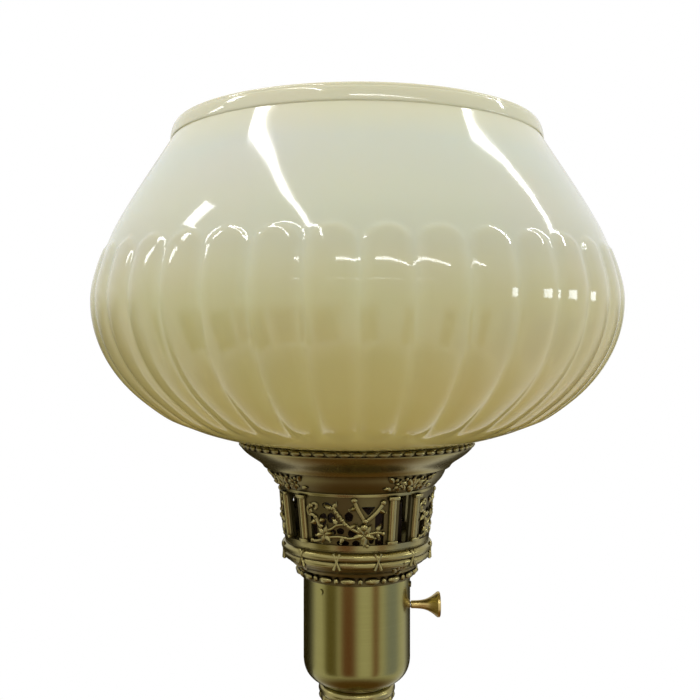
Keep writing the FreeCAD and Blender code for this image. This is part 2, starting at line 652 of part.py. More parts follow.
# ---- Glass shade -----------------------------------------------------------------------
def bowl(outline, inset):
    """The bowl's side from the neck up to the rim band, or the surface inset inside it."""
    rim_r = SHADE_RIM_R + SHADE_BAND_FLARE - inset
    cone_z = SHADE_TOP_Z - SHADE_BAND_HEIGHT
    belly_r, belly_z = SHADE_BELLY_R - inset, SHADE_TOP_Z - SHADE_BELLY_DROP
    neck_r, neck_z = SHADE_NECK_R - inset, SHADE_Z + SHADE_NECK_HEIGHT + inset
    passing_r, passing_z = HOLDER_R, HOLDER_TOP_Z + SHADE_EDGE_GAP + inset
    rise, lean = math.radians(UNDERSIDE_ANGLE), math.radians(SHOULDER_ANGLE)
    outline.line(neck_r, neck_z)
    outline.curve(neck_r, neck_z + 3.5, passing_r - 8 * math.cos(rise),
                  passing_z - 8 * math.sin(rise), passing_r, passing_z)
    outline.curve(passing_r + UNDERSIDE_PULL * math.cos(rise),
                  passing_z + UNDERSIDE_PULL * math.sin(rise),
                  belly_r, belly_z - BELLY_PULL_DOWN, belly_r, belly_z)
    outline.curve(belly_r, belly_z + BELLY_PULL_UP,
                  rim_r + SHOULDER_PULL * math.sin(lean),
                  cone_z - SHOULDER_PULL * math.cos(lean), rim_r, cone_z)
    return outline.line(SHADE_RIM_R - inset, SHADE_TOP_Z - min(inset, 0.5))


def glass_shade():
    outside = bowl(Outline(0, SHADE_Z).line(SHADE_NECK_R, SHADE_Z), 0)
    outside.line(0, outside.here.z)
    inner_r = SHADE_NECK_R - SHADE_WALL
    inside = bowl(Outline(0, SHADE_Z - 1).line(inner_r, SHADE_Z - 1), SHADE_WALL)
    inside.line(SHADE_RIM_R - SHADE_WALL, SHADE_TOP_Z + 1).line(0, SHADE_TOP_Z + 1)
    return outside.turned().cut(inside.turned())


# ---- Lamp socket -----------------------------------------------------------------------
def socket_nut():
    return hex_nut(CUP_Z + CUP_WALL, NUT_HEIGHT, NUT_ACROSS_FLATS, PIPE_R)


def socket_cap():
    z = SOCKET_Z - CAP_THICKNESS
    plate = ring(PIPE_R, CAP_R, z, CAP_THICKNESS)
    return plate.fuse(ring(PIPE_R, CAP_HUB_R, SOCKET_Z, CAP_HUB_HEIGHT)).removeSplitter()


def along_x(radius, start, length):
    """A cylinder on the switch's axis."""
    return Part.makeCylinder(radius, length, Vector(start, 0, SWITCH_Z), Vector(1, 0, 0))


def socket_body():
    body = ring(SOCKET_CAVITY_R, SOCKET_R, SOCKET_Z, SOCKET_BODY_HEIGHT - SOCKET_DECK)
    deck = ring(0, SOCKET_R, DECK_Z - SOCKET_DECK, SOCKET_DECK)
    body = body.fuse(deck).removeSplitter()
    bush_hole = along_x(SHAFT_R + SHAFT_PLAY + BUSH_WALL, 0, SOCKET_R + 1)
    centre_hole = ring(0, CENTRE_CONTACT_R - 2, DECK_Z - SOCKET_DECK, SOCKET_DECK)
    terminal_holes = terminal_pins(TERMINAL_SCREW_R, SOCKET_R - TERMINAL_DEPTH,
                                   TERMINAL_DEPTH)
    collar_holes = collar_screw_pins(0.2, DECK_Z - 6, 6)
    return body.cut([bush_hole, centre_hole] + terminal_holes + collar_holes)


def terminal_screws():
    shanks = terminal_pins(TERMINAL_SCREW_R, SOCKET_R - TERMINAL_DEPTH, TERMINAL_DEPTH)
    heads = terminal_pins(TERMINAL_HEAD_R, SOCKET_R, TERMINAL_HEAD)
    screws = [shank.fuse(head).removeSplitter() for shank, head in zip(shanks, heads)]
    return Part.makeCompound(screws)


def terminal_pins(radius, start_r, length):
    """Two pins square to the porcelain's side, one each side of the switch."""
    foot = Vector(start_r, 0, SOCKET_Z + TERMINAL_HEIGHT)
    pin = Part.makeCylinder(radius, length, foot, Vector(1, 0, 0))
    return turned_copies(pin, 2, 90)


def collar_screw_pins(extra_r, z, height):
    """The two screws that hold the collar down, one each side."""
    middle_r = (SHELL_INNER_R + SHELL_THICKNESS + COLLAR_GAP + SOCKET_R) / 2
    pin = Part.makeCylinder(1.0 + extra_r, height, Vector(middle_r, 0, z))
    return turned_copies(pin, 2, 90)


def socket_collar():
    inner_r = SHELL_INNER_R + SHELL_THICKNESS + COLLAR_GAP
    collar_ring = ring(inner_r, SOCKET_R, DECK_Z, COLLAR_HEIGHT)
    return collar_ring.cut(collar_screw_pins(0.2, DECK_Z, COLLAR_HEIGHT))


def collar_screws():
    z = DECK_Z - 6
    screws = []
    for pin in collar_screw_pins(0, z, COLLAR_HEIGHT + 6):
        centre = pin.BoundBox.Center
        head = Part.makeCylinder(1.5, 1.2, Vector(centre.x, centre.y, DECK_Z + COLLAR_HEIGHT))
        screws.append(pin.fuse(head).removeSplitter())
    return Part.makeCompound(screws)


def screw_shell():
    outer_r = SHELL_INNER_R + SHELL_THICKNESS
    shell = ring(SHELL_INNER_R, outer_r, DECK_Z, SHELL_HEIGHT)
    lip = ring(outer_r - SHELL_LIP, outer_r, DECK_Z, SHELL_THICKNESS)
    return shell.fuse(lip).removeSplitter()


def centre_contact():
    stem = ring(0, CENTRE_CONTACT_R - 2 - SLIP, DECK_Z - SOCKET_DECK, SOCKET_DECK)
    button = ring(0, CENTRE_CONTACT_R, DECK_Z, CENTRE_CONTACT_HEIGHT)
    return stem.fuse(button).removeSplitter()


def ring_contact():
    """The offset leaf that feeds the bulb's second filament."""
    leaf = ring(RING_CONTACT_R, RING_CONTACT_R + RING_CONTACT_WIDTH, DECK_Z,
                RING_CONTACT_HEIGHT)
    return leaf.common(wedge(150, 210, DECK_Z, RING_CONTACT_HEIGHT))


# ---- Switch ----------------------------------------------------------------------------
def switch_bushing():
    inner_r = SHAFT_R + SHAFT_PLAY
    start = SOCKET_CAVITY_R + 0.5
    tube = along_x(inner_r + BUSH_WALL - 0.02, start, SOCKET_R - start)
    return tube.cut(along_x(inner_r, start - 1, SOCKET_R - start + 2))


def switch_shaft():
    return along_x(SHAFT_R, SHAFT_INNER_END, CUP_R + KNOB_BORE_DEPTH - SHAFT_INNER_END)


def switch_rotor():
    drum = along_x(ROTOR_R, -ROTOR_HALF_LENGTH, 2 * ROTOR_HALF_LENGTH)
    flat = Part.makeBox(2 * ROTOR_HALF_LENGTH, 2 * ROTOR_R, ROTOR_R,
                        Vector(-ROTOR_HALF_LENGTH, -ROTOR_R, SWITCH_Z + ROTOR_R * 0.7))
    return drum.cut([flat, along_x(SHAFT_R, -ROTOR_HALF_LENGTH, 2 * ROTOR_HALF_LENGTH)])


def switch_leaves():
    """Two spring leaves, one each side of the rotor, standing in the deck."""
    reach = ROTOR_R + MOVING_GAP
    low = SWITCH_Z - ROTOR_R * 0.6
    top = DECK_Z - SOCKET_DECK
    leaves = []
    for side in (1, -1):
        inner = reach if side > 0 else -reach - LEAF_THICKNESS
        leaves.append(Part.makeBox(LEAF_WIDTH, LEAF_THICKNESS, top - low,
                                   Vector(-LEAF_WIDTH / 2, inner, low)))
    return Part.makeCompound(leaves)


def knob():
    """A trumpet-shaped key, drawn upright and then laid along +X."""
    start, length = CUP_R + 0.5, KNOB_REACH - CUP_R - 0.5
    flare = length - KNOB_EDGE
    outline = Outline(SHAFT_R, 0).line(KNOB_STEM_R - 0.2, 0).line(KNOB_STEM_R, 0.4)
    outline.curve(KNOB_STEM_R, length * 0.5, KNOB_STEM_R + 1, length * 0.62, KNOB_R, flare)
    rim_r = KNOB_R - 0.6
    dish_r = (rim_r ** 2 + KNOB_DISH ** 2) / (2 * KNOB_DISH)
    half_z = length - KNOB_DISH + dish_r - math.sqrt(dish_r ** 2 - (rim_r / 2) ** 2)
    outline.line(KNOB_R, length - 0.3).line(rim_r, length)
    outline.arc(rim_r / 2, half_z, 0, length - KNOB_DISH)
    outline.line(0, KNOB_BORE_DEPTH - 0.5).line(SHAFT_R, KNOB_BORE_DEPTH - 0.5)
    trumpet = outline.turned()
    trumpet.rotate(ORIGIN, Vector(0, 1, 0), 90)
    trumpet.translate(Vector(start, 0, SWITCH_Z))
    return trumpet


# ---- Bulb ------------------------------------------------------------------------------
def pear(outline, inset):
    """The pear-shaped side, from the neck at the metal shell up to the crown."""
    neck_r, neck_z = BULB_NECK_R - inset, BULB_SHELL_Z + BULB_SHELL_HEIGHT - 6
    wide_r, crown_z = BULB_R - inset, TIP_Z + BULB_LENGTH - inset
    wide_z = crown_z + inset - BULB_R
    outline.line(neck_r, neck_z + 14)
    outline.curve(neck_r, neck_z + 38, wide_r, wide_z - 34, wide_r, wide_z)
    diagonal = math.sqrt(0.5)
    return outline.arc(wide_r * diagonal, wide_z + (crown_z - wide_z) * diagonal, 0, crown_z)


def bulb_envelope():
    z = BULB_SHELL_Z + BULB_SHELL_HEIGHT - 6
    outside = pear(Outline(0, z).line(BULB_NECK_R, z), 0).turned()
    inside = pear(Outline(0, z + 2).line(BULB_NECK_R - BULB_WALL, z + 2), BULB_WALL)
    return outside.cut(inside.turned())


def bulb_shell():
    z, height, inner_r = BULB_SHELL_Z, BULB_SHELL_HEIGHT, BULB_SHELL_R - BULB_SHELL_WALL
    outline = Outline(inner_r, z + 3).line(BULB_SHELL_R - 5 - BULB_SHELL_WALL, z)
    outline.line(BULB_SHELL_R - 5, z).line(BULB_SHELL_R, z + 3)
    return outline.line(BULB_SHELL_R, z + height).line(inner_r, z + height).turned()


def bulb_insulator():
    z = BULB_SHELL_Z - BULB_INSULATOR_HEIGHT
    top_r = BULB_SHELL_R - 5.5
    outline = Outline(BULB_TIP_R * 0.6, z).line(top_r - 5, z)
    outline.line(top_r, BULB_SHELL_Z).line(BULB_TIP_R * 0.6, BULB_SHELL_Z)
    return outline.turned()


def bulb_ring():
    """The brass ring on the insulator's cone that meets the offset leaf."""
    rise, height = BULB_INSULATOR_HEIGHT * 0.25, 1.5
    z = BULB_SHELL_Z - BULB_INSULATOR_HEIGHT + rise
    inner_r = BULB_SHELL_R - 5.5 - 5 + rise * 5 / BULB_INSULATOR_HEIGHT + 0.05
    spread = height * 5 / BULB_INSULATOR_HEIGHT
    outline = Outline(inner_r, z).line(inner_r + 1, z)
    return outline.line(inner_r + 1 + spread, z + height).line(
        inner_r + spread, z + height).turned()


def bulb_tip():
    """The solder contact; its waist stands clear of the insulator's hole."""
    stem = ring(0, BULB_TIP_R * 0.6 - MOVING_GAP, TIP_Z + BULB_TIP_HEIGHT - 1.5, 4)
    dome = ring(0, BULB_TIP_R, TIP_Z, BULB_TIP_HEIGHT - 1.0 - 0.1)
    return dome.fuse(stem).removeSplitter()


def bulb_stem():
    """The glass stem fused into the neck."""
    z = BULB_STEM_Z
    foot = ring(0, BULB_NECK_R - BULB_WALL - SLIP, z, 3)
    press = Part.makeCone(5, 2.5, BULB_STEM_HEIGHT - 3, Vector(0, 0, z + 3))
    return foot.fuse(press).removeSplitter()


def bulb_leads():
    """Three nickel leads that fan out from the stem to the filament."""
    z = BULB_STEM_Z + BULB_STEM_HEIGHT + 0.35
    leads = []
    for degrees in (0, 120, 240):
        foot = around(1.6, degrees, z)
        head = around(FILAMENT_SPAN, degrees, FILAMENT_Z)
        span = head.sub(foot)
        leads.append(Part.makeCylinder(LEAD_R, span.Length, foot, span))
    return Part.makeCompound(leads)


def bulb_filament():
    """The tungsten coil, as a plain ring that stands on the leads."""
    coil_z = FILAMENT_Z + LEAD_R + 0.7
    return Part.makeTorus(FILAMENT_SPAN - 0.4, 0.6, Vector(0, 0, coil_z))


SUBPARTS = [
    base_pad, base_foot_ring, base_shell, base_weight, base_spacer, base_washer, base_nut,
    cord_bushing,
    lower_pipe, upper_pipe, pipe_coupling,
    lower_vase, lower_collar, lower_column, middle_cap, middle_knop, upper_cap,
    upper_column, neck_collar, neck_spindle, neck_ring,
    socket_cup, cup_screws, gallery_base, gallery_drum, shade_holder, glass_shade,
    socket_nut, socket_cap, socket_body, terminal_screws, socket_collar, collar_screws,
    screw_shell,
    centre_contact, ring_contact,
    switch_bushing, switch_shaft, switch_rotor, switch_leaves, knob,
    bulb_envelope, bulb_shell, bulb_insulator, bulb_ring, bulb_tip, bulb_stem, bulb_leads,
    bulb_filament,
]


def main():
    os.makedirs("parts", exist_ok=True)
    for make in SUBPARTS:
        shape = make()
        if not shape.isValid():
            print("not valid:", make.__name__)
        shape.exportStep(f"parts/{make.__name__}.step")
    print(f"{len(SUBPARTS)} nodes, height {SHADE_TOP_Z:.1f} mm, holder top {HOLDER_TOP_Z:.1f}")


main()
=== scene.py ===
"""The looks of the torchiere floor lamp: pressed custard glass, antiqued cast brass and a
fluted column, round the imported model. Metres, +Z up, the front towards -Y."""
import json
import math

import bpy
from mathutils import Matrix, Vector


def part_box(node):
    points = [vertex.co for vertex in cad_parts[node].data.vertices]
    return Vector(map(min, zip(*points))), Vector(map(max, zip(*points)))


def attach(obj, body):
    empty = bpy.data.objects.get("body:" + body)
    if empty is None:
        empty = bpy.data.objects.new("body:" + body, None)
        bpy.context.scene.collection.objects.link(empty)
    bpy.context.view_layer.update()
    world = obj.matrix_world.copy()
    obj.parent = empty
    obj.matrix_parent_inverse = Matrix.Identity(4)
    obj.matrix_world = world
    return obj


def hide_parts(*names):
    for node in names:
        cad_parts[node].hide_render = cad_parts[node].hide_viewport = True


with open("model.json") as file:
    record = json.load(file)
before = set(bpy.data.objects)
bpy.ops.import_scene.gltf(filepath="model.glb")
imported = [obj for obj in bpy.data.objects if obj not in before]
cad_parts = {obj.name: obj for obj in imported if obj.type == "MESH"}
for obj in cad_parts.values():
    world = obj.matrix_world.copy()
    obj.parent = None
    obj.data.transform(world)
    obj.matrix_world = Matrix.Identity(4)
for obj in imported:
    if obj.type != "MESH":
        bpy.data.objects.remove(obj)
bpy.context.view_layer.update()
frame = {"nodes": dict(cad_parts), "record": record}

MM = 0.001
TURN = math.tau
FRONT = -TURN / 4

# ---- Places, from the frame ---------------------------------------------------------
GLASS_LOW, GLASS_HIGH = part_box("glass_shade")
HOLDER_LOW, HOLDER_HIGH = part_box("shade_holder")
DRUM_LOW, DRUM_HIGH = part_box("gallery_drum")
FOOT_LOW, FOOT_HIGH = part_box("base_foot_ring")
VASE_LOW, VASE_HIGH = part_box("lower_vase")
KNOP_LOW, KNOP_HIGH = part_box("middle_knop")
RING_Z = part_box("neck_ring")[0][2]

# ---- Where the lamp is looked at from ---------------------------------------------------
EYE_HEIGHT = 1510 * MM
EYE_DISTANCE = 492.5 * MM
EYE_ASIDE = -3.7 * MM
EYE_TILT = math.radians(89.83)  # from straight down: as good as level
EYE_ANGLE = 2 * math.atan(350 / 910)  # 42 degrees across

# ---- The glass's own sizes -------------------------------------------------------------
RIBS = 38
RIB_COLUMNS = 12  # faces across one rib
RIB_DEPTH = 1.35 * MM
RIB_STEP = 0.6 * MM  # how sharply a rib's arched end stands off the shoulder
GLASS_WALL = 4.0 * MM
RIM_R = 97.0 * MM
RIM_BAND = 8.6 * MM
NECK_R = 36.5 * MM
BELLY_R = GLASS_HIGH[0]
BELLY_Z = GLASS_HIGH[2] - 92.6 * MM
ARCH_Z = GLASS_HIGH[2] - 76.0 * MM  # where the ribs' arched tops spring from
ARCH_RISE = 10.5 * MM
RIB_FOOT_R = 84.0 * MM  # where the ribs have died away under the bowl
RIB_FADE = 22.0 * MM  # how far out from there they reach their full height
BED_FADE = 30.0 * MM  # and how far out the ground between them sinks fully


# ---- Modelling by hand: small steps that every piece is made with ------------------------
def only(piece):
    """Selects one piece and nothing else."""
    bpy.ops.object.select_all(action="DESELECT")
    piece.select_set(True)
    bpy.context.view_layer.objects.active = piece


def started(add_primitive, **settings):
    """Adds a primitive, with nothing else selected, as the start of a piece."""
    bpy.ops.object.select_all(action="DESELECT")
    add_primitive(**settings)
    return bpy.context.object


def place(piece, name=None):
    """Puts the piece's place into its mesh."""
    only(piece)
    bpy.ops.object.transform_apply(location=True, rotation=True, scale=True)
    if name:
        piece.name = name
    return piece


def finish_with(piece, kind, **settings):
    """Adds a modifier and applies it."""
    only(piece)
    modifier = piece.modifiers.new(kind.title(), kind)
    for name, value in settings.items():
        setattr(modifier, name, value)
    bpy.ops.object.modifier_apply(modifier=modifier.name)
    return piece


def smooth(piece, degrees=40):
    """Shades a piece smooth, but for edges sharper than an angle."""
    only(piece)
    bpy.ops.object.shade_smooth_by_angle(angle=math.radians(degrees))
    return piece


def joined(name, parts):
    """Several parts made one piece."""
    bpy.ops.object.select_all(action="DESELECT")
    for part in parts:
        part.select_set(True)
    bpy.context.view_layer.objects.active = parts[0]
    bpy.ops.object.join()
    return place(bpy.context.object, name)


def copy_of(part):
    """A copy with its own mesh."""
    twin = part.copy()
    twin.data = part.data.copy()
    bpy.context.collection.objects.link(twin)
    return twin


def round_the_lamp(part, count, first=0.0):
    """The part and its copies, evenly spaced round the axis from an angle."""
    place(part)
    ring = []
    for k in range(count):
        twin = copy_of(part)
        twin.rotation_euler[2] = first + TURN * k / count
        ring.append(place(twin))
    bpy.data.objects.remove(part)
    return ring


def turned(name, outline, steps):
    """A point is drawn along an outline of (radius, height) and spun round the axis."""
    start_r, start_z = outline[0]
    piece = started(bpy.ops.mesh.primitive_plane_add, size=MM, location=(start_r, 0, start_z))
    place(piece, name)
    bpy.ops.object.mode_set(mode="EDIT")
    bpy.ops.mesh.select_all(action="SELECT")
    bpy.ops.mesh.merge(type="CENTER")
    for (r0, z0), (r1, z1) in zip(outline, outline[1:]):
        bpy.ops.mesh.extrude_vertices_move(
            TRANSFORM_OT_translate={"value": (r1 - r0, 0, z1 - z0)})
    bpy.ops.mesh.select_all(action="SELECT")
    bpy.ops.mesh.spin(steps=steps, angle=TURN, center=(0, 0, 0), axis=(0, 0, 1))
    bpy.ops.mesh.select_all(action="SELECT")
    bpy.ops.mesh.remove_doubles(threshold=0.002 * MM)
    bpy.ops.mesh.normals_make_consistent(inside=False)
    bpy.ops.object.mode_set(mode="OBJECT")
    return piece


def cubic(p0, p1, p2, p3, count):
    """Points along a cubic, without its first."""
    points = []
    for k in range(1, count + 1):
        t = k / count
        a, b, c, d = (1 - t) ** 3, 3 * t * (1 - t) ** 2, 3 * t * t * (1 - t), t ** 3
        points.append(tuple(a * p0[i] + b * p1[i] + c * p2[i] + d * p3[i] for i in (0, 1)))
    return points


def steps_up(base, points):
    """Points (radius, height over a base), given in millimetres."""
    return [(r * MM, base + up * MM) for r, up in points]


def bow(centre, radius, start, end, count):
    """Points along an arc about a centre, from one angle to another, in degrees."""
    points = []
    for k in range(count + 1):
        a = math.radians(start + (end - start) * k / count)
        points.append((centre[0] + radius * math.cos(a), centre[1] + radius * math.sin(a)))
    return points


def ramp(value, low, high):
    """0 below low, 1 above high, and a smooth rise between."""
    t = min(1.0, max(0.0, (value - low) / (high - low)))
    return t * t * (3 - 2 * t)


# ---- The glass shade ------------------------------------------------------------------------
def bowl_side(inset):
    """The bowl from the neck's foot up to the rim band, or the surface inset inside it."""
    neck_top = GLASS_LOW[2] + 13.5 * MM + inset
    edge = (63.5 * MM, HOLDER_HIGH[2] + 0.7 * MM + inset)
    belly_r = BELLY_R - inset
    rim = (RIM_R + 1.6 * MM - inset, GLASS_HIGH[2] - RIM_BAND - 0.4 * MM)
    under, lean = math.radians(10.5), math.radians(31.1)
    neck_r = NECK_R - inset
    side = [(neck_r, GLASS_LOW[2] + 0.6 * MM), (neck_r, GLASS_LOW[2] + 6 * MM)]
    side.append((neck_r, neck_top))
    side += cubic((neck_r, neck_top), (neck_r, neck_top + 3.5 * MM),
                  (edge[0] - 8 * MM * math.cos(under), edge[1] - 8 * MM * math.sin(under)),
                  edge, 10)
    side += cubic(edge, (edge[0] + 50 * MM * math.cos(under),
                         edge[1] + 50 * MM * math.sin(under)),
                  (belly_r, BELLY_Z - 32.5 * MM), (belly_r, BELLY_Z), 52 if inset == 0 else 14)
    side += cubic((belly_r, BELLY_Z), (belly_r, BELLY_Z + 24 * MM),
                  (rim[0] + 27 * MM * math.sin(lean), rim[1] - 27 * MM * math.cos(lean)),
                  rim, 74 if inset == 0 else 16)
    return side


def glass_outline():
    """The bowl's whole section: outside, rim band, rounded lip, inside and the neck's foot."""
    outside = bowl_side(0)
    top = GLASS_HIGH[2]
    foot = outside[-1]
    band = [(foot[0] + 0.15 * MM, foot[1] + 0.1 * MM), (foot[0] + 0.4 * MM, foot[1] + 0.5 * MM),
            (foot[0] + 0.45 * MM, foot[1] + 1.0 * MM)]
    band += cubic(band[-1], (RIM_R + 1.9 * MM, foot[1] + 2.6 * MM),
                  (RIM_R + 1.4 * MM, top - 3.2 * MM), (RIM_R + 0.6 * MM, top - 2.0 * MM), 12)
    lip_r = GLASS_WALL / 2 - 0.1 * MM
    lip = bow((RIM_R - lip_r + 0.2 * MM, top - lip_r), lip_r, 0, 180, 10)
    inside = list(reversed(bowl_side(GLASS_WALL)))
    heel = bow((NECK_R - GLASS_WALL / 2, GLASS_LOW[2] + 0.6 * MM), GLASS_WALL / 2, 180, 360, 2)
    return outside + band + lip + inside + [(heel[1][0], GLASS_LOW[2])] + outside[:1]


def rib_height(angle, r, z):
    """How far a point of the bowl stands out on its rib, as a share of the rib's depth. A
    rib's arched end rises by a step of its own, and its foot dies away."""
    phase = ((angle - FRONT) / TURN * RIBS) % 1.0
    across = abs(2 * phase - 1)
    above = max(0.0, (z - ARCH_Z) / ARCH_RISE)
    below = max(0.0, (RIB_FOOT_R + RIB_FADE - r) / RIB_FADE) if z < BELLY_Z else 0.0
    reach = math.sqrt(across ** 2 + above ** 2 + below ** 2)
    if reach >= 1:
        return 0.0
    step = RIB_STEP / RIB_DEPTH * ramp(above, 0.0, 0.6)
    fade = 1 - ramp(below, 0.2, 1.0)
    return (1 - reach ** 2.3) * (1 - step) * fade + ramp(1 - reach, 0.0, 0.16) * step


def glass_shade():
    """Pressed opal glass: a smooth shoulder, and pillowy ribs with arched tops."""
    glass = turned("ribbed_bowl", glass_outline(), RIBS * RIB_COLUMNS)
    thickness = [0.0] * len(glass.data.vertices)
    lining_and_glow = [0.0] * len(glass.data.vertices)
    ribs = glass.vertex_groups.new(name="ribs")
    ground = glass.vertex_groups.new(name="ground")
    middle = Vector((0, 0, BELLY_Z))
    for vertex in glass.data.vertices:
        x, y, z = vertex.co
        r = math.hypot(x, y)
        # Inward faces are marked to be painted lighter: partly a milk-white casing, partly painted
        # light glowing through the glass.
        outward = vertex.normal.dot(vertex.co - middle) > 0
        lining_and_glow[vertex.index] = 0.0 if outward else 1.0
        if not outward or r < RIB_FOOT_R or z > ARCH_Z + 2 * ARCH_RISE:
            continue
        height = rib_height(math.atan2(y, x), r, z)
        ribs.add([vertex.index], height, "REPLACE")
        # How far a rib stands out also sets how much darker and yellower it is painted, as painted
        # shade.
        thickness[vertex.index] = height
        sunk = 1 - ramp(z, ARCH_Z - 4 * MM, ARCH_Z + 2 * ARCH_RISE)
        if z < BELLY_Z:
            sunk *= ramp(r, RIB_FOOT_R, RIB_FOOT_R + BED_FADE)
        ground.add([vertex.index], sunk, "REPLACE")
    for name, values in (("rib_thickness", thickness), ("lining_and_glow", lining_and_glow)):
        layer = glass.data.attributes.new(name, "FLOAT", "POINT")
        layer.data.foreach_set("value", values)
    finish_with(glass, "DISPLACE", strength=-RIB_DEPTH, mid_level=0.0, vertex_group="ground")
    finish_with(glass, "DISPLACE", strength=RIB_DEPTH, mid_level=0.0, vertex_group="ribs")
    return smooth(glass, 50)


# ---- Cast ornament: modelled flat (across, outwards = -Y, up) and then wrapped round the axis ----
def leaf(length, width, thickness=0.85 * MM):
    """One cast leaf along +X, its back on the ground, with a raised midrib and notched edges."""
    piece = started(bpy.ops.mesh.primitive_grid_add, x_subdivisions=10, y_subdivisions=4, size=1)
    for vertex in piece.data.vertices:
        along, side = vertex.co.x + 0.5, vertex.co.y * 2
        notch = 1 - 0.22 * abs(math.sin(along * math.pi * 3)) * abs(side)
        half = width / 2 * math.sin(math.pi * min(1, along * 1.02) ** 0.75) * notch
        rib = 0.35 * (1 - abs(side)) + 0.65 * (1 - side ** 2)
        lift = thickness * (rib * math.sin(math.pi * along ** 0.8) ** 0.5 + 0.25 * along ** 3)
        vertex.co = (along * length, -lift, side * half)
    finish_with(piece, "SOLIDIFY", thickness=0.8 * MM, offset=-1.0)
    only(piece)
    bpy.ops.object.mode_set(mode="EDIT")
    bpy.ops.mesh.select_all(action="SELECT")
    bpy.ops.mesh.remove_doubles(threshold=0.02 * MM)
    bpy.ops.mesh.normals_make_consistent(inside=False)
    bpy.ops.object.mode_set(mode="OBJECT")
    return piece


def boss(radius, stretch=1.0, proud=1.0):
    """A round or long bead, half sunk in the ground."""
    piece = started(bpy.ops.mesh.primitive_uv_sphere_add, segments=10, ring_count=6,
                    radius=radius)
    piece.scale = (stretch, proud, 1)
    return place(piece)


def stem(points, thickness, proud=1.0):
    """A cast stem or ribbon through points (across, up), thicker than it is proud or not."""
    curve = bpy.data.curves.new("stem", "CURVE")
    curve.dimensions = "3D"
    curve.bevel_depth = thickness / 2
    curve.bevel_resolution = 2
    curve.use_fill_caps = True
    line = curve.splines.new("NURBS")
    line.points.add(len(points) - 1)
    for point, (x, z) in zip(line.points, points):
        point.co = (x, 0, z, 1)
    line.order_u = 3
    line.use_endpoint_u = True
    line.resolution_u = 5
    piece = bpy.data.objects.new("stem", curve)
    bpy.context.collection.objects.link(piece)
    only(piece)
    bpy.ops.object.convert(target="MESH")
    piece = bpy.context.object
    piece.scale = (1, proud, 1)
    return place(piece)


def laid(part, across, up, degrees=0, out=0.0):
    """Puts an ornament on the flat ground, turned in its plane."""
    part.location = (across, -out, up)
    part.rotation_euler = (0, -math.radians(degrees), 0)
    return place(part)


def rosette(petals, reach, across, up):
    """A small open flower: petals round a boss."""
    parts = [laid(leaf(reach, reach * 0.75), across, up, 90 + 360 * k / petals)
             for k in range(petals)]
    return parts + [laid(boss(reach * 0.28), across, up, out=0.9 * MM)]


def darkened(piece, amount, low=-math.inf, high=math.inf):
    """Marks what lies between two heights to be painted darker by an amount: the antiquing's brown
    left in hollows, and painted shade and painted reflection where they fall.
    """
    marks = [amount if low < v.co.z < high else 0.0 for v in piece.data.vertices]
    layer = piece.data.attributes.get("patina_and_shade")
    if not layer:
        layer = piece.data.attributes.new("patina_and_shade", "FLOAT", "POINT")
        layer.data.foreach_set("value", marks)
    else:
        for place_of, mark in zip(layer.data, marks):
            place_of.value = max(place_of.value, mark)
    return piece


def wrap(piece, radius, height, slope=0.0, facing=FRONT):
    """Bends flat work round the axis at a radius, leans it out by slope, lifts it to a height
    and turns its middle to face an angle."""
    only(piece)
    bpy.context.view_layer.update()
    finish_with(piece, "SIMPLE_DEFORM", deform_method="BEND", deform_axis="Z",
                angle=piece.dimensions.x / radius)
    piece.location = (0, -radius, 0)
    place(piece)
    if slope:
        bpy.context.view_layer.update()
        finish_with(piece, "SIMPLE_DEFORM", deform_method="TAPER", deform_axis="Z",
                    factor=slope / radius * piece.dimensions.z)
    piece.location = (0, 0, height)
    piece.rotation_euler = (0, 0, facing - FRONT)
    return place(piece)


def beads_round(count, radius, height, bead_r, stretch=1.0, first=0.0):
    """A row of beads round the lamp."""
    bead = boss(bead_r, stretch=stretch)
    bead.location = (0, -radius, height)
    return round_the_lamp(bead, count, first)


def plug_through(across, up, wide, high, degrees, sides):
    """A plug that cuts a hole of a few sides, with rounded corners, turned in the wall's plane."""
    plug = started(bpy.ops.mesh.primitive_cylinder_add, vertices=sides, radius=0.5,
                   depth=12 * MM)
    plug.rotation_euler = (math.pi / 2, 0, 0)
    place(plug)
    plug.rotation_euler = (0, math.pi / sides if sides == 4 else 0, 0)
    place(plug)
    spread = math.sqrt(2) if sides == 4 else 1.1
    plug.scale = (wide * spread, 1, high * spread)
    plug.rotation_euler = (0, math.radians(degrees), 0)
    plug.location = (across, 0, up)
    place(plug)
    return finish_with(plug, "BEVEL", width=0.9 * MM, segments=2)


# ---- The gallery: a pierced wall of four bays, pilasters, and a spray of leaves in each --------
BAYS = 4
BAY_FACING = math.radians(36.5 - 45.0)
DRUM_LOW_R = 38.3 * MM
DRUM_SLOPE = 3.2 / 29.0
WINDOW_LOW = 3.0 * MM
WINDOW_HIGH = 27.4 * MM
BAY_HALF = DRUM_LOW_R * TURN / 8  # from a bay's middle to the middle of its pilasters
PILASTER_AT = 7.2 * MM  # of a pilaster's middle from the slot's middle
SLOT = 7.0 * MM  # how wide the opening between two pilasters is


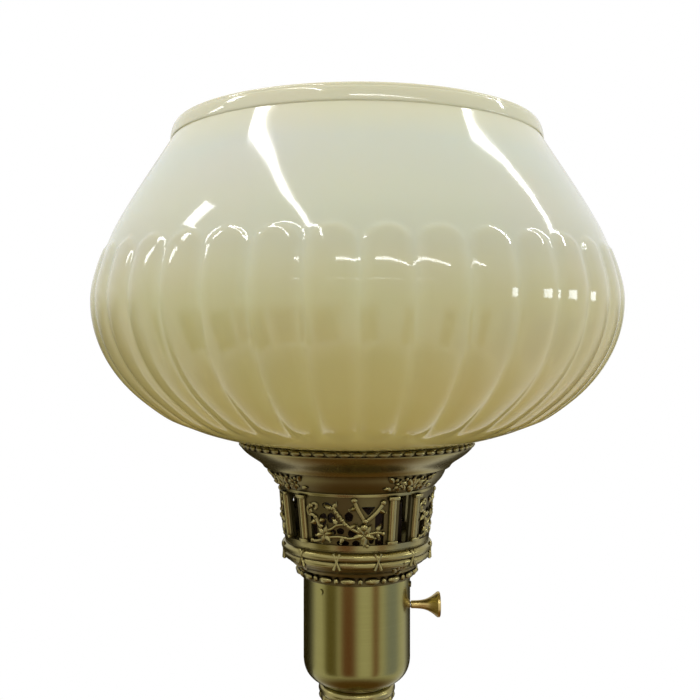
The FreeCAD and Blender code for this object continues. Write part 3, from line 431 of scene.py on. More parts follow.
def bay_wall():
    """One bay's wall, with the openings between the leaves and half a slot at each end."""
    wall = started(bpy.ops.mesh.primitive_grid_add, x_subdivisions=44, y_subdivisions=16, size=1,
                   rotation=(math.pi / 2, 0, 0))
    place(wall, "bay_wall")
    wall.scale = (2 * BAY_HALF, 1, DRUM_HIGH[2] - DRUM_LOW[2])
    wall.location = (0, 0, (DRUM_HIGH[2] - DRUM_LOW[2]) / 2)
    place(wall)
    finish_with(wall, "SOLIDIFY", thickness=1.9 * MM, offset=-1.0)
    holes = [(-16.6, 10.6, 3.6, 14.6, 0, 4), (-11.6, 15.4, 4.4, 7.6, 20, 6),
             (-7.0, 16.8, 4.4, 5.6, 0, 5), (-9.0, 23.0, 5.4, 3.4, 10, 5),
             (-6.4, 9.6, 3.6, 2.8, 0, 6), (-1.6, 4.0, 6.8, 4.0, 0, 5),
             (-2.6, 10.2, 4.2, 3.6, 0, 5), (3.4, 9.2, 5.0, 4.6, 0, 6), (1.6, 17.6, 4.4, 5.4, 0, 5),
             (5.0, 4.0, 4.2, 3.6, 0, 5), (10.9, 21.2, 7.6, 5.6, 180, 3),
             (16.4, 15.6, 4.4, 9.6, 0, 4), (16.6, 5.2, 4.4, 7.8, 0, 4), (12.6, 5.6, 2.8, 4.2, 0, 5)]
    plugs = [plug_through(*(size * MM for size in hole[:4]), *hole[4:]) for hole in holes]
    for side in (-1, 1):
        plug = started(bpy.ops.mesh.primitive_cube_add, size=1)
        plug.scale = (SLOT, 12 * MM, WINDOW_HIGH - WINDOW_LOW)
        plug.location = (side * BAY_HALF, 0, (WINDOW_HIGH + WINDOW_LOW) / 2)
        plugs.append(place(plug))
    cutter = joined("plugs", plugs)
    finish_with(wall, "BOOLEAN", operation="DIFFERENCE", object=cutter, solver="EXACT")
    bpy.data.objects.remove(cutter)
    return wall


def pilaster(across):
    """A half-round upright with a stepped foot and head."""
    shaft = started(bpy.ops.mesh.primitive_cylinder_add, vertices=20, radius=2.1 * MM,
                    depth=WINDOW_HIGH - WINDOW_LOW,
                    location=(across, 0.2 * MM, (WINDOW_HIGH + WINDOW_LOW) / 2))
    parts = [place(shaft)]
    for up in (WINDOW_LOW + 0.9 * MM, WINDOW_HIGH - 0.9 * MM):
        block = started(bpy.ops.mesh.primitive_cube_add, size=1, location=(across, 0, up))
        block.scale = (5.4 * MM, 4.6 * MM, 1.8 * MM)
        place(block)
        finish_with(block, "BEVEL", width=0.5 * MM, segments=2)
        parts.append(block)
    return joined("pilaster", parts)


def spray():
    """The leaves, berries and ribbon over one bay's openings, in millimetres from its middle."""
    parts = []
    lines = [
        ([(-17.8, 22.6), (-20.2, 21.0), (-19.4, 17.6), (-16.2, 18.2), (-14.2, 15.0), (-12.0, 9.6),
          (-10.6, 6.4)], 1.9),
        ([(-17.8, 22.6), (-15.2, 24.4), (-13.6, 22.0), (-15.4, 20.6)], 1.5),
        ([(-5.6, 21.6), (-2.2, 16.6), (1.8, 11.6), (8.8, 8.6)], 1.9),
        ([(-12.0, 9.6), (-7.0, 10.8), (-4.6, 13.4), (-1.2, 13.6)], 1.4),
        ([(-10.6, 6.4), (-6.4, 7.2), (-2.0, 7.4), (3.0, 6.0), (8.8, 8.6)], 1.6),
        ([(4.2, 25.8), (5.2, 23.0), (7.0, 19.2), (9.4, 15.0)], 2.2),
        ([(18.0, 24.4), (16.2, 21.6), (13.2, 18.0), (9.4, 15.0)], 2.2),
        ([(9.4, 15.0), (9.8, 12.0), (8.8, 8.6), (8.6, 4.4), (10.4, 2.6)], 1.8),
        ([(8.8, 8.6), (12.6, 9.0), (15.6, 9.8), (18.4, 8.8)], 1.7),
        ([(-10.6, 6.4), (-14.0, 4.2), (-18.0, 4.4)], 1.6),
    ]
    for line, thickness in lines:
        points = [(u * MM, v * MM) for u, v in line]
        parts.append(laid(stem(points, thickness * MM, proud=0.8), 0, 0, out=0.1 * MM))
    for u, v, r in [(4.2, 26.0, 1.5), (18.0, 24.6, 1.5), (-17.6, 22.4, 1.4), (-5.8, 21.8, 1.2),
                    (-4.4, 19.8, 1.1), (-3.0, 17.8, 1.1), (-1.5, 15.8, 1.1), (0.1, 13.8, 1.1),
                    (8.8, 12.2, 2.0), (9.4, 15.4, 1.5), (-12.4, 12.4, 1.3), (-15.4, 16.8, 1.2),
                    (18.4, 8.8, 1.2), (10.4, 2.8, 1.1), (-18.0, 4.6, 1.1)]:
        parts.append(laid(boss(r * MM, proud=0.8), u * MM, v * MM, out=0.3 * MM))
    parts += [laid(leaf(6.4 * MM, 3.8 * MM), 8.8 * MM, 8.4 * MM, 72 * k - 18, out=0.4 * MM)
              for k in range(5)]
    parts += [laid(leaf(5.2 * MM, 3.2 * MM), -11.0 * MM, 8.2 * MM, 60 * k + 12, out=0.4 * MM)
              for k in range(6)]
    for u, v, turn, size in [(-6.4, 21.0, 150, 5.0), (-6.0, 21.4, 60, 4.4), (-14.4, 15.0, 205, 5.0),
                             (-13.6, 14.6, 20, 4.6), (-4.2, 13.2, 120, 4.6), (-1.4, 7.4, 250, 4.2),
                             (2.0, 11.4, 40, 4.6), (5.6, 22.4, 200, 4.4), (15.8, 21.2, -30, 4.4),
                             (15.0, 9.8, 60, 4.6), (15.2, 9.6, -70, 4.2), (-17.6, 21.0, 250, 4.4)]:
        parts.append(laid(leaf(size * MM, size * 0.62 * MM), u * MM, v * MM, turn, out=0.2 * MM))
    return joined("spray", parts)


def pierced_gallery():
    """Cast brass: four bays of leaves between pairs of pilasters, each pair round a slot."""
    rails = []
    for low, high, proud in ((0.0, WINDOW_LOW, 0.5 * MM), (WINDOW_HIGH, 29.0 * MM, 0.4 * MM)):
        r0, r1 = DRUM_LOW_R + DRUM_SLOPE * low, DRUM_LOW_R + DRUM_SLOPE * high
        z0, z1 = DRUM_LOW[2] + low, DRUM_LOW[2] + high
        rails.append(turned("rail", [(r0 - 1 * MM, z0), (r0 + proud, z0 + 0.1 * MM),
                                     (r0 + proud + 0.2 * MM, (z0 + z1) / 2),
                                     (r1 + proud, z1 - 0.1 * MM), (r1 - 1 * MM, z1),
                                     (r0 - 1 * MM, z0)], 192))
    # The wall's ground behind the leaves is painted darker: the antiquing's brown in the hollows,
    # and painted shade in the recess behind the relief.
    flat = [darkened(bay_wall(), 0.85), spray()]
    for side in (-1, 1):
        flat.append(pilaster(side * (BAY_HALF - PILASTER_AT)))
    bay = wrap(joined("bay", flat), DRUM_LOW_R, DRUM_LOW[2], DRUM_SLOPE, BAY_FACING)
    return smooth(joined("pierced_gallery", rails + round_the_lamp(bay, BAYS)), 35)


def capital():
    """The leaves over a pair of pilasters: two rosettes, with leaves and berries between them."""
    parts = []
    for side in (-1, 1):
        parts += rosette(6, 3.4 * MM, side * PILASTER_AT, 4.2 * MM)
        for across, up, turn in ((3.6, 1.4, 60), (3.2, 4.6, 20), (11.0, 2.2, 10), (10.6, 5.8, 50)):
            turned_by = turn if side > 0 else 180 - turn
            parts.append(laid(leaf(4.6 * MM, 3.0 * MM), side * across * MM, up * MM, turned_by))
        for across, up, r in ((1.6, 3.0, 1.2), (2.6, 6.6, 1.0), (4.4, 7.6, 0.9), (9.6, 7.2, 1.0)):
            parts.append(laid(boss(r * MM, proud=0.8), side * across * MM, up * MM))
    for turn in (50, 90, 130):
        parts.append(laid(leaf(5.4 * MM, 3.6 * MM), 0, 3.6 * MM, turn))
    parts.append(laid(boss(1.7 * MM, proud=0.8), 0, 1.6 * MM))
    return joined("capital", parts)


def flared_holder():
    """Cast and turned brass: a leafy frieze, a deep cove and a beaded edge round the glass."""
    z = HOLDER_LOW[2]
    edge_r, top = HOLDER_HIGH[0], HOLDER_HIGH[2]
    outside = [(41.9, 0), (42.6, 0.4), (43.3, 1.1), (44.2, 2.2), (45.2, 3.3), (46.0, 4.4),
               (46.7, 5.6), (47.4, 7.0), (47.9, 8.4), (48.4, 9.2), (48.6, 9.5), (49.9, 9.6),
               (50.4, 10.0), (50.6, 10.4)]
    outline = steps_up(z, [(31.5, 0)] + outside)
    outline += cubic(outline[-1], (52.4 * MM, z + 13.4 * MM), (57.6 * MM, z + 14.9 * MM),
                     (61.6 * MM, z + 19.4 * MM), 18)
    outline += steps_up(z, [(62.2, 20.2), (62.3, 20.7), (61.6, 21.0), (61.6, 22.9)])
    outline += [(61.2 * MM, top), (60.5 * MM, z + 23.0 * MM)]
    outline += cubic(outline[-1], (50.5 * MM, z + 16.1 * MM), (38.6 * MM, z + 6.0 * MM),
                     (38.1 * MM, z + 2.5 * MM), 12)
    outline += steps_up(z, [(31.5, 2.5), (31.5, 0)])
    # The lower frieze is painted darker, as painted reflection of the brown room below; the band
    # under the beaded edge is painted darker, as painted shade under the glass's edge.
    body = darkened(turned("holder", outline, 256), 0.45, z - MM, z + 9.4 * MM)
    parts = [darkened(body, 0.9, top - 3.0 * MM, top - 0.9 * MM)]
    bead_r = 1.35 * MM
    # The edge's beads are painted a little darker, as painted shade under the glass.
    for bead in beads_round(62, edge_r - bead_r, top - 1.45 * MM, bead_r, stretch=2.1):
        parts.append(darkened(bead, 0.4))
    for k in range(BAYS):
        facing = BAY_FACING + TURN / 8 + TURN / BAYS * k
        parts.append(wrap(capital(), 43.2 * MM, z, 0.66, facing))
    return smooth(joined("flared_holder", parts), 40)


def console():
    """The leaf under each pair of pilasters, on the fitter's waist."""
    parts = [laid(leaf(6.6 * MM, 3.4 * MM), 0, 0.6 * MM, turn) for turn in (35, 62, 90, 118, 145)]
    parts.append(laid(boss(1.3 * MM), 0, 0.9 * MM, out=0.6 * MM))
    return joined("console", parts)


def gallery_fitter():
    """Turned brass with a long-beaded ring, a leafy waist and two tied half-rounds."""
    top = DRUM_LOW[2]
    skirt = top - 22.0 * MM
    outline = steps_up(skirt, [(28.95, 2.2), (30.5, 2.2), (30.8, 2.5), (30.9, 7.4), (32.6, 7.6),
                               (33.0, 8.1)])
    outline += cubic(outline[-1], (33.3 * MM, skirt + 10.2 * MM), (36.9 * MM, skirt + 10.0 * MM),
                     (37.6 * MM, skirt + 12.5 * MM), 12)
    outline += bow((37.7 * MM, skirt + 14.8 * MM), 2.3 * MM, -85, 50, 14)
    outline += bow((38.1 * MM, skirt + 18.6 * MM), 2.5 * MM, -50, 85, 14)
    outline += steps_up(top, [(38.4, -0.7), (38.4, -0.2), (38.2, 0), (36.1, 0)])
    outline += steps_up(skirt, [(36.1, 17.1), (26.25, 4.75), (26.25, -4.9), (27.65, -4.9),
                                (27.65, 2.75), (28.95, 2.75), (28.95, 2.2)])
    # The waist and the band behind the bead ring are painted darker: the antiquing's brown in the
    # recesses, and painted shade under the half-rounds and the beads.
    body = darkened(turned("fitter", outline, 256), 0.5, skirt + 7.7 * MM, skirt + 12.6 * MM)
    parts = [darkened(body, 0.9, skirt + 2.3 * MM, skirt + 7.6 * MM)]
    parts += beads_round(16, 31.4 * MM, skirt + 5.1 * MM, 1.85 * MM, 2.1, BAY_FACING)
    parts += beads_round(16, 31.4 * MM, skirt + 5.1 * MM, 1.7 * MM, 0.85, BAY_FACING + TURN / 32)
    for k in range(BAYS):
        facing = BAY_FACING + TURN / 8 + TURN / BAYS * k
        parts.append(wrap(console(), 33.4 * MM, skirt + 8.0 * MM, 0.98, facing))
    tie = [laid(stem([(lean * -1.7 * MM, 0), (lean * 1.7 * MM, 8.2 * MM)], 1.4 * MM), 0, 0)
           for lean in (-1, 1)]
    tie = wrap(joined("tie", tie), 40.0 * MM, skirt + 12.7 * MM)
    parts += round_the_lamp(tie, 12, TURN / 24)
    return smooth(joined("gallery_fitter", parts), 40)


# ---- Turned pieces with swelling lobes --------------------------------------------------------
def swell(piece, count, depth, share):
    """Sinks the furrows between lobes round a turned piece; share(r, z, across) says how much
    of the lobe is left, across being 0 in a lobe's middle and 1 in the furrow."""
    furrows = piece.vertex_groups.new(name="furrows")
    for vertex in piece.data.vertices:
        x, y, z = vertex.co
        across = abs(2 * (math.atan2(y, x) / TURN * count % 1.0) - 1)
        furrows.add([vertex.index], 1 - share(math.hypot(x, y), z, across), "REPLACE")
    return finish_with(piece, "DISPLACE", strength=-depth, mid_level=0.0, vertex_group="furrows")


def lobed_ring():
    """The cast ring under the cup: a round band over a row of swelling lobes."""
    z = RING_Z
    outline = steps_up(z, [(5.2, 0), (15.0, 0)])
    outline += bow((16.6 * MM, z + 3.2 * MM), 3.2 * MM, -100, 60, 14)
    outline += bow((17.7 * MM, z + 7.7 * MM), 3.0 * MM, -60, 80, 12)
    outline += steps_up(z, [(18.5, 10.7), (18.5, 11.0), (5.2, 11.0), (5.2, 0)])
    ring = turned("neck_band", outline, 256)
    parts = [ring] + beads_round(14, 17.3 * MM, z + 3.4 * MM, 3.3 * MM, stretch=0.95,
                                 first=TURN / 28)
    return smooth(joined("lobed_ring", parts), 40)


def beaded_foot():
    """The base's cast rim: a row of egg-shaped beads under a rounded step."""
    z, edge_r = FOOT_LOW[2], FOOT_HIGH[0]
    outline = [(126.0 * MM, z), (edge_r - 4.0 * MM, z), (edge_r - 3.2 * MM, z + 0.4 * MM),
               (edge_r - 3.2 * MM, z + 1.6 * MM), (edge_r - 4.4 * MM, z + 2.4 * MM),
               (edge_r - 4.6 * MM, z + 6.0 * MM), (edge_r - 4.6 * MM, z + 10.4 * MM),
               (edge_r - 4.6 * MM, z + 11.2 * MM), (edge_r - 3.9 * MM, z + 11.8 * MM)]
    outline += bow((edge_r - 5.4 * MM, z + 12.4 * MM), 1.7 * MM, -20, 80, 8)
    outline += [(edge_r - 7.0 * MM, z + 15.0 * MM), (edge_r - 9.6 * MM, z + 16.0 * MM),
                (126.0 * MM, z + 16.0 * MM), (126.0 * MM, z)]
    parts = [turned("rim", outline, 336)]
    bead = boss(3.9 * MM, stretch=1.0, proud=0.85)
    bead.scale = (1.18, 1, 1.12)
    place(bead)
    bead.location = (0, -(edge_r - 3.4 * MM), z + 6.7 * MM)
    inlet_y = edge_r - 0.9 * MM  # the beads behind this make room for the cord's bushing
    for bead in round_the_lamp(bead, 84, TURN / 168):
        if max(v.co.y for v in bead.data.vertices) < inlet_y:
            parts.append(bead)
        else:
            bpy.data.objects.remove(bead)
    return smooth(joined("beaded_foot", parts), 40)


def lobed_vase():
    """A cast vase on the base: swelling lobes below, a crown of leaves, and a slim neck."""
    z, top = VASE_LOW[2], VASE_HIGH[2]
    outline = steps_up(z, [(9.0, 0), (27.0, 0)])
    outline += bow((26.6 * MM, z + 4 * MM), 3.4 * MM, -80, 80, 10)
    outline += steps_up(z, [(23.0, 9.0), (22.2, 10.6)])
    outline += cubic(outline[-1], (21.4 * MM, z + 16 * MM), (33 * MM, z + 20 * MM),
                     (33 * MM, z + 36 * MM), 24)
    outline += cubic(outline[-1], (33 * MM, z + 56 * MM), (13 * MM, top - 36 * MM),
                     (13 * MM, top - 14.6 * MM), 30)
    outline += bow((14.6 * MM, top - 10.8 * MM), 2.6 * MM, -75, 75, 10)
    outline += steps_up(top, [(15.2, -7.4), (15.4, -5.6), (17.0, -2.6), (19.6, -1.2), (20.0, 0),
                              (9.0, 0)])
    outline.append(outline[0])
    vase = turned("vase_body", outline, 192)

    def share(r, height, across):
        up = (height - z) / MM
        if r < 14 * MM or up < 11 or up > 54:
            return 1.0
        crown = max(0.0, (up - 38) / 12)
        foot = max(0.0, (16 - up) / 5)
        reach = math.sqrt(across ** 2 + crown ** 2 + foot ** 2)
        lobe = max(0.0, 1 - reach ** 2.2)
        return lobe + (1 - lobe) * ramp(up, 42, 54)
    swell(vase, 16, 1.7 * MM, share)
    parts = [vase]
    blade = leaf(17 * MM, 9.0 * MM, 1.8 * MM)
    blade.rotation_euler = (0, -math.pi / 2, 0)
    place(blade)
    parts += round_the_lamp(wrap(blade, 30.2 * MM, z + 50 * MM, -0.51), 16)
    return smooth(joined("lobed_vase", parts), 40)


def lobed_knop():
    """The cast knop between the columns: lobes above and below a beaded band."""
    z, top = KNOP_LOW[2], KNOP_HIGH[2]
    middle = (z + top) / 2
    outline = steps_up(z, [(7.35, 0), (18.5, 0)])
    outline += cubic(outline[-1], (12.5 * MM, z + 9 * MM), (26.4 * MM, z + 12 * MM),
                     (26.4 * MM, middle - 4 * MM), 22)
    outline += steps_up(middle, [(25.2, -3.4), (25.2, -2.6)])
    outline += bow((24.7 * MM, middle), 1.4 * MM, -70, 70, 10)
    outline += steps_up(middle, [(25.2, 2.6), (25.2, 3.4), (26.2, 4)])
    outline += cubic(outline[-1], (26.0 * MM, middle + 16 * MM), (10.5 * MM, top - 14 * MM),
                     (14.5 * MM, top), 24)
    outline += [(7.35 * MM, top), outline[0]]
    knop = turned("knop_body", outline, 192)

    def share(r, height, across):
        off = abs(height - middle) / MM
        if r < 12 * MM or off < 4.2:
            return 1.0
        crown = max(0.0, (off - 12) / 12) if height > middle else max(0.0, (off - 14) / 12)
        reach = math.sqrt(across ** 2 + crown ** 2)
        lobe = max(0.0, 1 - reach ** 2.2)
        return lobe + (1 - lobe) * ramp(off, 16, 26)
    swell(knop, 12, 1.3 * MM, share)
    parts = [knop] + beads_round(36, 25.3 * MM, middle, 1.65 * MM)
    return smooth(joined("lobed_knop", parts), 40)


# ---- Materials -------------------------------------------------------------------------------
def linear(code):
    """An sRGB hex colour as linear red, green, blue and alpha."""
    channels = [int(code[k:k + 2], 16) / 255 for k in (1, 3, 5)]
    return [c / 12.92 if c <= 0.04045 else ((c + 0.055) / 1.055) ** 2.4 for c in channels] + [1]


def add(material, kind, links=(), **settings):
    """Adds a node; settings are its properties, and links its inputs, as values or sockets."""
    tree = material.node_tree
    node = tree.nodes.new("ShaderNode" + kind)
    for name, value in settings.items():
        setattr(node, name, value)
    for name, value in dict(links).items():
        if isinstance(value, bpy.types.NodeSocket):
            tree.links.new(value, node.inputs[name])
        else:
            node.inputs[name].default_value = value
    return node


def bare(material):
    """Clears the nodes of a material or world."""
    material.use_nodes = True
    material.node_tree.nodes.clear()
    return material


def finish_named(name, **shader):
    """A material with one Principled shader, set to the values given."""
    material = bare(bpy.data.materials.new(name))
    surface = add(material, "BsdfPrincipled", shader)
    add(material, "OutputMaterial", {"Surface": surface.outputs[0]})
    return material, surface


def connect(material, source, surface, name):
    """Links a socket to one of the shader's."""
    material.node_tree.links.new(source, surface.inputs[name])


def heights(material, stops):
    """A colour that changes with height over the glass: (height, hex colour) from the foot."""
    place_of = add(material, "TexCoord").outputs["Object"]
    height = add(material, "SeparateXYZ", {0: place_of}).outputs["Z"]
    low, high = stops[0][0], stops[-1][0]
    share = add(material, "MapRange", {"Value": height, "From Min": low, "From Max": high})
    band = add(material, "ValToRGB", {"Fac": share.outputs[0]})
    points = band.color_ramp.elements
    for k, (z, code) in enumerate(stops):
        at = (z - low) / (high - low)
        point = points[k] if k < 2 else points.new(at)
        point.position = at
        point.color = linear(code)
    return band.outputs["Color"]


def custard_glass():
    """Pressed opal glass, fire-polished: a wet gloss over a cloudy cream body. Its colour darkens
    and yellows towards the foot, partly its own tone and partly painted shade; the ribs' middles
    are painted yellower than the furrows, as painted shade; and the inside is painted lighter,
    partly a milk-white casing and partly painted light that glows through. Its clouds are about
    70 mm across, and the mould's slow waves, which unsteady the reflections, about 18 mm."""
    material, surface = finish_named("custard_opal_glass", Roughness=0.075, IOR=1.5)
    surface.inputs["Subsurface Weight"].default_value = 0.25
    surface.inputs["Subsurface Radius"].default_value = (1.0, 0.8, 0.5)
    surface.inputs["Subsurface Scale"].default_value = 4 * MM
    top = GLASS_HIGH[2]
    # The colour darkens and yellows towards the foot: partly the glass's own tone, partly painted
    # shade for the less lit underside. The rim band is painted a little more tan than the shoulder,
    # as painted reflection.
    stops = [(GLASS_LOW[2], "#b59f52"), (top - 166 * MM, "#b8a45a"), (top - 138 * MM, "#c0b376"),
             (top - 116 * MM, "#c2b982"), (top - 96 * MM, "#c3c092"), (top - 73 * MM, "#c0c1a8"),
             (top - 51 * MM, "#c2c3ad"), (top - 26 * MM, "#c3c5b4"), (top - 10 * MM, "#cdcaac"),
             (top, "#cac6a6")]
    colour = heights(material, stops)
    where = add(material, "TexCoord").outputs["Object"]
    cloud = add(material, "TexNoise", {"Vector": where, "Scale": 14.0, "Detail": 3.0})
    mottle = add(material, "Mix", {0: 0.06, 6: colour, 7: cloud.outputs["Color"]},
                 data_type="RGBA", blend_type="OVERLAY")
    # The ribs' middles are painted darker and yellower than the furrows, as painted shade for the
    # light that the thinner furrows let through.
    rib = add(material, "Attribute", attribute_name="rib_thickness")
    share = add(material, "MapRange", {"Value": rib.outputs["Fac"], "From Max": 0.8,
                                       "To Min": 0.0, "To Max": 0.3})
    painted_rib_shade = add(material, "Mix", {0: share.outputs[0], 6: mottle.outputs[2],
                                  7: linear("#e3d8b4")}, data_type="RGBA",
                blend_type="MULTIPLY")
    # The inside is painted lighter: partly a milk-white casing, partly painted light glowing
    # through the glass.
    inside_glow = add(material, "Attribute", attribute_name="lining_and_glow")
    both = add(material, "Mix", {0: inside_glow.outputs["Fac"], 6: painted_rib_shade.outputs[2],
                                 7: linear("#e6e2cc")}, data_type="RGBA")
    connect(material, both.outputs[2], surface, "Base Color")
    waves = add(material, "TexNoise", {"Vector": where, "Scale": 55.0, "Detail": 1.0})
    skin = add(material, "Bump", {"Height": waves.outputs["Fac"], "Strength": 0.25,
                                  "Distance": 0.12 * MM})
    connect(material, skin.outputs[0], surface, "Normal")
    return material


def antique_brass():
    """Cast brass, browned by antiquing and rubbed back: bright on what stands proud, brown in
    the hollows, under satin lacquer. Marked bands are painted darker still, as antiquing brown
    and as painted shade and painted reflection. Blotches are about 26 mm across, and the sand's
    grain is drawn at about 1.4 mm, coarser than it is, so that it shows."""
    material, surface = finish_named("antiqued_cast_brass", Metallic=1.0)
    where = add(material, "TexCoord").outputs["Object"]
    hollow = add(material, "AmbientOcclusion", {"Distance": 3.0 * MM}, samples=6, only_local=True)
    rubbed = add(material, "MapRange", {"Value": hollow.outputs["AO"], "From Min": 0.35,
                                        "From Max": 0.95})
    blotch = add(material, "TexNoise", {"Vector": where, "Scale": 38.0, "Detail": 3.0})
    patchy = add(material, "MapRange", {"Value": blotch.outputs["Fac"], "From Min": 0.3,
                                        "From Max": 0.7, "To Min": 0.8, "To Max": 1.0})
    # Where a piece is marked, the metal is painted darker: antiquing brown in the hollows, and
    # painted shade and painted reflection on the marked bands.
    patina_and_shade = add(material, "Attribute", attribute_name="patina_and_shade")
    kept = add(material, "MapRange", {"Value": patina_and_shade.outputs["Fac"], "To Min": 1.0,
                                      "To Max": 0.25})
    amount = add(material, "Math", {0: rubbed.outputs[0], 1: patchy.outputs[0]},
                 operation="MULTIPLY")
    amount = add(material, "Math", {0: amount.outputs[0], 1: kept.outputs[0]},
                 operation="MULTIPLY")
    colour = add(material, "Mix", {0: amount.outputs[0], 6: linear("#2a1d0b"),
                                   7: linear("#948a58")}, data_type="RGBA")
    connect(material, colour.outputs[2], surface, "Base Color")
    rough = add(material, "MapRange", {"Value": amount.outputs[0], "To Min": 0.45, "To Max": 0.24})
    connect(material, rough.outputs[0], surface, "Roughness")
    grain = add(material, "TexNoise", {"Vector": where, "Scale": 700.0, "Detail": 2.0})
    skin = add(material, "Bump", {"Height": grain.outputs["Fac"], "Strength": 0.2,
                                  "Distance": 0.06 * MM})
    connect(material, skin.outputs[0], surface, "Normal")
    return material


def satin_brass():
    """Spun brass, brushed on the lathe and lacquered: rings 0.4 mm apart round the axis, which
    draw every reflection out along the height. A quarter of a metre passes along a ring before
    it changes."""
    material, surface = finish_named("satin_spun_brass", Metallic=1.0, Roughness=0.23)
    where = add(material, "TexCoord").outputs["Object"]
    rings = add(material, "Mapping", {"Vector": where, "Scale": (4, 4, 2600)})
    lines = add(material, "TexNoise", {"Vector": rings.outputs[0], "Scale": 1.0, "Detail": 3.0})
    colour = add(material, "Mix", {0: lines.outputs["Fac"], 6: linear("#7c7642"),
                                   7: linear("#958f58")}, data_type="RGBA")
    connect(material, colour.outputs[2], surface, "Base Color")
    skin = add(material, "Bump", {"Height": lines.outputs["Fac"], "Strength": 0.2,
                                  "Distance": 0.03 * MM})
    connect(material, skin.outputs[0], surface, "Normal")
    return material


def plain(name, code, **shader):
    """A finish whose colour varies a little over about 5 mm, as handled metal and moulded
    goods do."""
    material, surface = finish_named(name, **shader)
    where = add(material, "TexCoord").outputs["Object"]
    grain = add(material, "TexNoise", {"Vector": where, "Scale": 180.0, "Detail": 4.0})
    base = linear(code)
    darker = [c * 0.8 for c in base[:3]] + [1]
    colour = add(material, "Mix", {0: grain.outputs["Fac"], 6: darker, 7: base},
                 data_type="RGBA")
    connect(material, colour.outputs[2], surface, "Base Color")
    return material


# What a plain finish gives the eye: rolled and turned brass are a warm, close mirror; paint on
# iron and felt have no shine; zinc, nickel and tungsten are grey metals with a soft one; phenolic
# and vitrite are nearly black and glossy; the glaze is brown under dust; and the bulb is an even
# white.
FINISHES = {
    "custard_glass": custard_glass(),
    "antique_brass": antique_brass(),
    "satin_brass": satin_brass(),
    "bright_brass": plain("bright_rolled_brass", "#c9a55a", Metallic=1.0, Roughness=0.25),
    "cast_iron": plain("black_painted_cast_iron", "#2b2b2b", Roughness=0.7),
    "steel": plain("zinc_plated_steel", "#a9a8a2", Metallic=1.0, Roughness=0.35),
    "felt": plain("pressed_wool_felt", "#26402c", Roughness=0.95),
    "phenolic": plain("moulded_phenolic", "#1d1611", Roughness=0.35),
    "porcelain": plain("brown_glazed_porcelain", "#3a2410", Roughness=0.5,
                       **{"Specular IOR Level": 0.2}),
    "frosted_glass": plain("frosted_bulb_glass", "#eceae2", Roughness=0.25),
    "clear_glass": plain("clear_stem_glass", "#dfe6e4", Roughness=0.05),
    "black_glass": plain("black_vitrite_glass", "#0c0c0c", Roughness=0.1),
    "nickel": plain("dull_nickelled_brass", "#7d7868", Metallic=1.0, Roughness=0.35),
    "tungsten": plain("tungsten_wire", "#6a6a6c", Metallic=1.0, Roughness=0.4),
    "knob_brass": plain("turned_brass", "#c8b070", Metallic=1.0, Roughness=0.3),
}


def finish_cad_nodes():
    """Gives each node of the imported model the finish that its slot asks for. The key is
    turned from a yellower bar than the cup is spun from."""
    slots = {part["node"]: part["material_slot"] for part in frame["record"]["subparts"]}
    for name, node in frame["nodes"].items():
        node.data.materials.clear()
        node.data.materials.append(FINISHES[slots[name]])
    frame["nodes"]["knob"].data.materials[0] = FINISHES["knob_brass"]


def dress(piece, body, slot, node):
    """Gives a finished piece its body and its finish, and hides the node that it stands for."""
    piece.data.materials.clear()
    piece.data.materials.append(FINISHES[slot])
    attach(piece, body)
    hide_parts(node)


# ---- Room: a pale floor, soft light, tubes overhead, and screens that the metal mirrors -------
SEEN_RAYS = ("Is Camera Ray", "Is Glossy Ray", "Is Transmission Ray")
WHITE = (1, 1, 1, 1)
FLOOR_HALF = 8.0
CEILING = 2.6
SOFT_LIGHT = 0.62  # how strong the white room is as light
SHADOW_REACH = (0.25, 1.3)  # from the axis: where the floor starts to fade to white, and ends


def seen(material_or_world):
    """1 where the eye looks, straight or in metal or glass, and 0 for soft light."""
    path = add(material_or_world, "LightPath")
    total = path.outputs[SEEN_RAYS[0]]
    for name in SEEN_RAYS[1:]:
        total = add(material_or_world, "Math", {0: total, 1: path.outputs[name]},
                    operation="MAXIMUM").outputs[0]
    return total


def white_room():
    """A white world that lights the lamp softly, and is plain white where it is seen."""
    world = bare(bpy.data.worlds.new("white_room"))
    bpy.context.scene.world = world
    strength = add(world, "MapRange", {"Value": seen(world), "To Min": SOFT_LIGHT, "To Max": 1.0})
    light = add(world, "Background", {"Color": WHITE, "Strength": strength.outputs[0]})
    add(world, "OutputWorld", {"Surface": light.outputs[0]})


def pale_floor():
    """A matt floor that keeps the shadow and runs out into the white of the room."""
    floor = started(bpy.ops.mesh.primitive_plane_add, size=2 * FLOOR_HALF)
    place(floor, "pale_floor")
    material = bare(bpy.data.materials.new("pale_floor_paint"))
    where = add(material, "TexCoord").outputs["Object"]
    distance = add(material, "VectorMath", {0: where}, operation="LENGTH")
    far = add(material, "MapRange", {"Value": distance.outputs["Value"],
                                     "From Min": SHADOW_REACH[0], "From Max": SHADOW_REACH[1]},
              interpolation_type="SMOOTHSTEP")
    shown = add(material, "Math", {0: far.outputs[0], 1: seen(material)}, operation="MULTIPLY")
    matt = add(material, "BsdfDiffuse", {"Color": linear("#f6f5f2")})
    white = add(material, "Emission", {"Color": WHITE, "Strength": 1.0})
    both = add(material, "MixShader", {0: shown.outputs[0], 1: matt.outputs[0],
                                       2: white.outputs[0]})
    add(material, "OutputMaterial", {"Surface": both.outputs[0]})
    floor.data.materials.append(material)


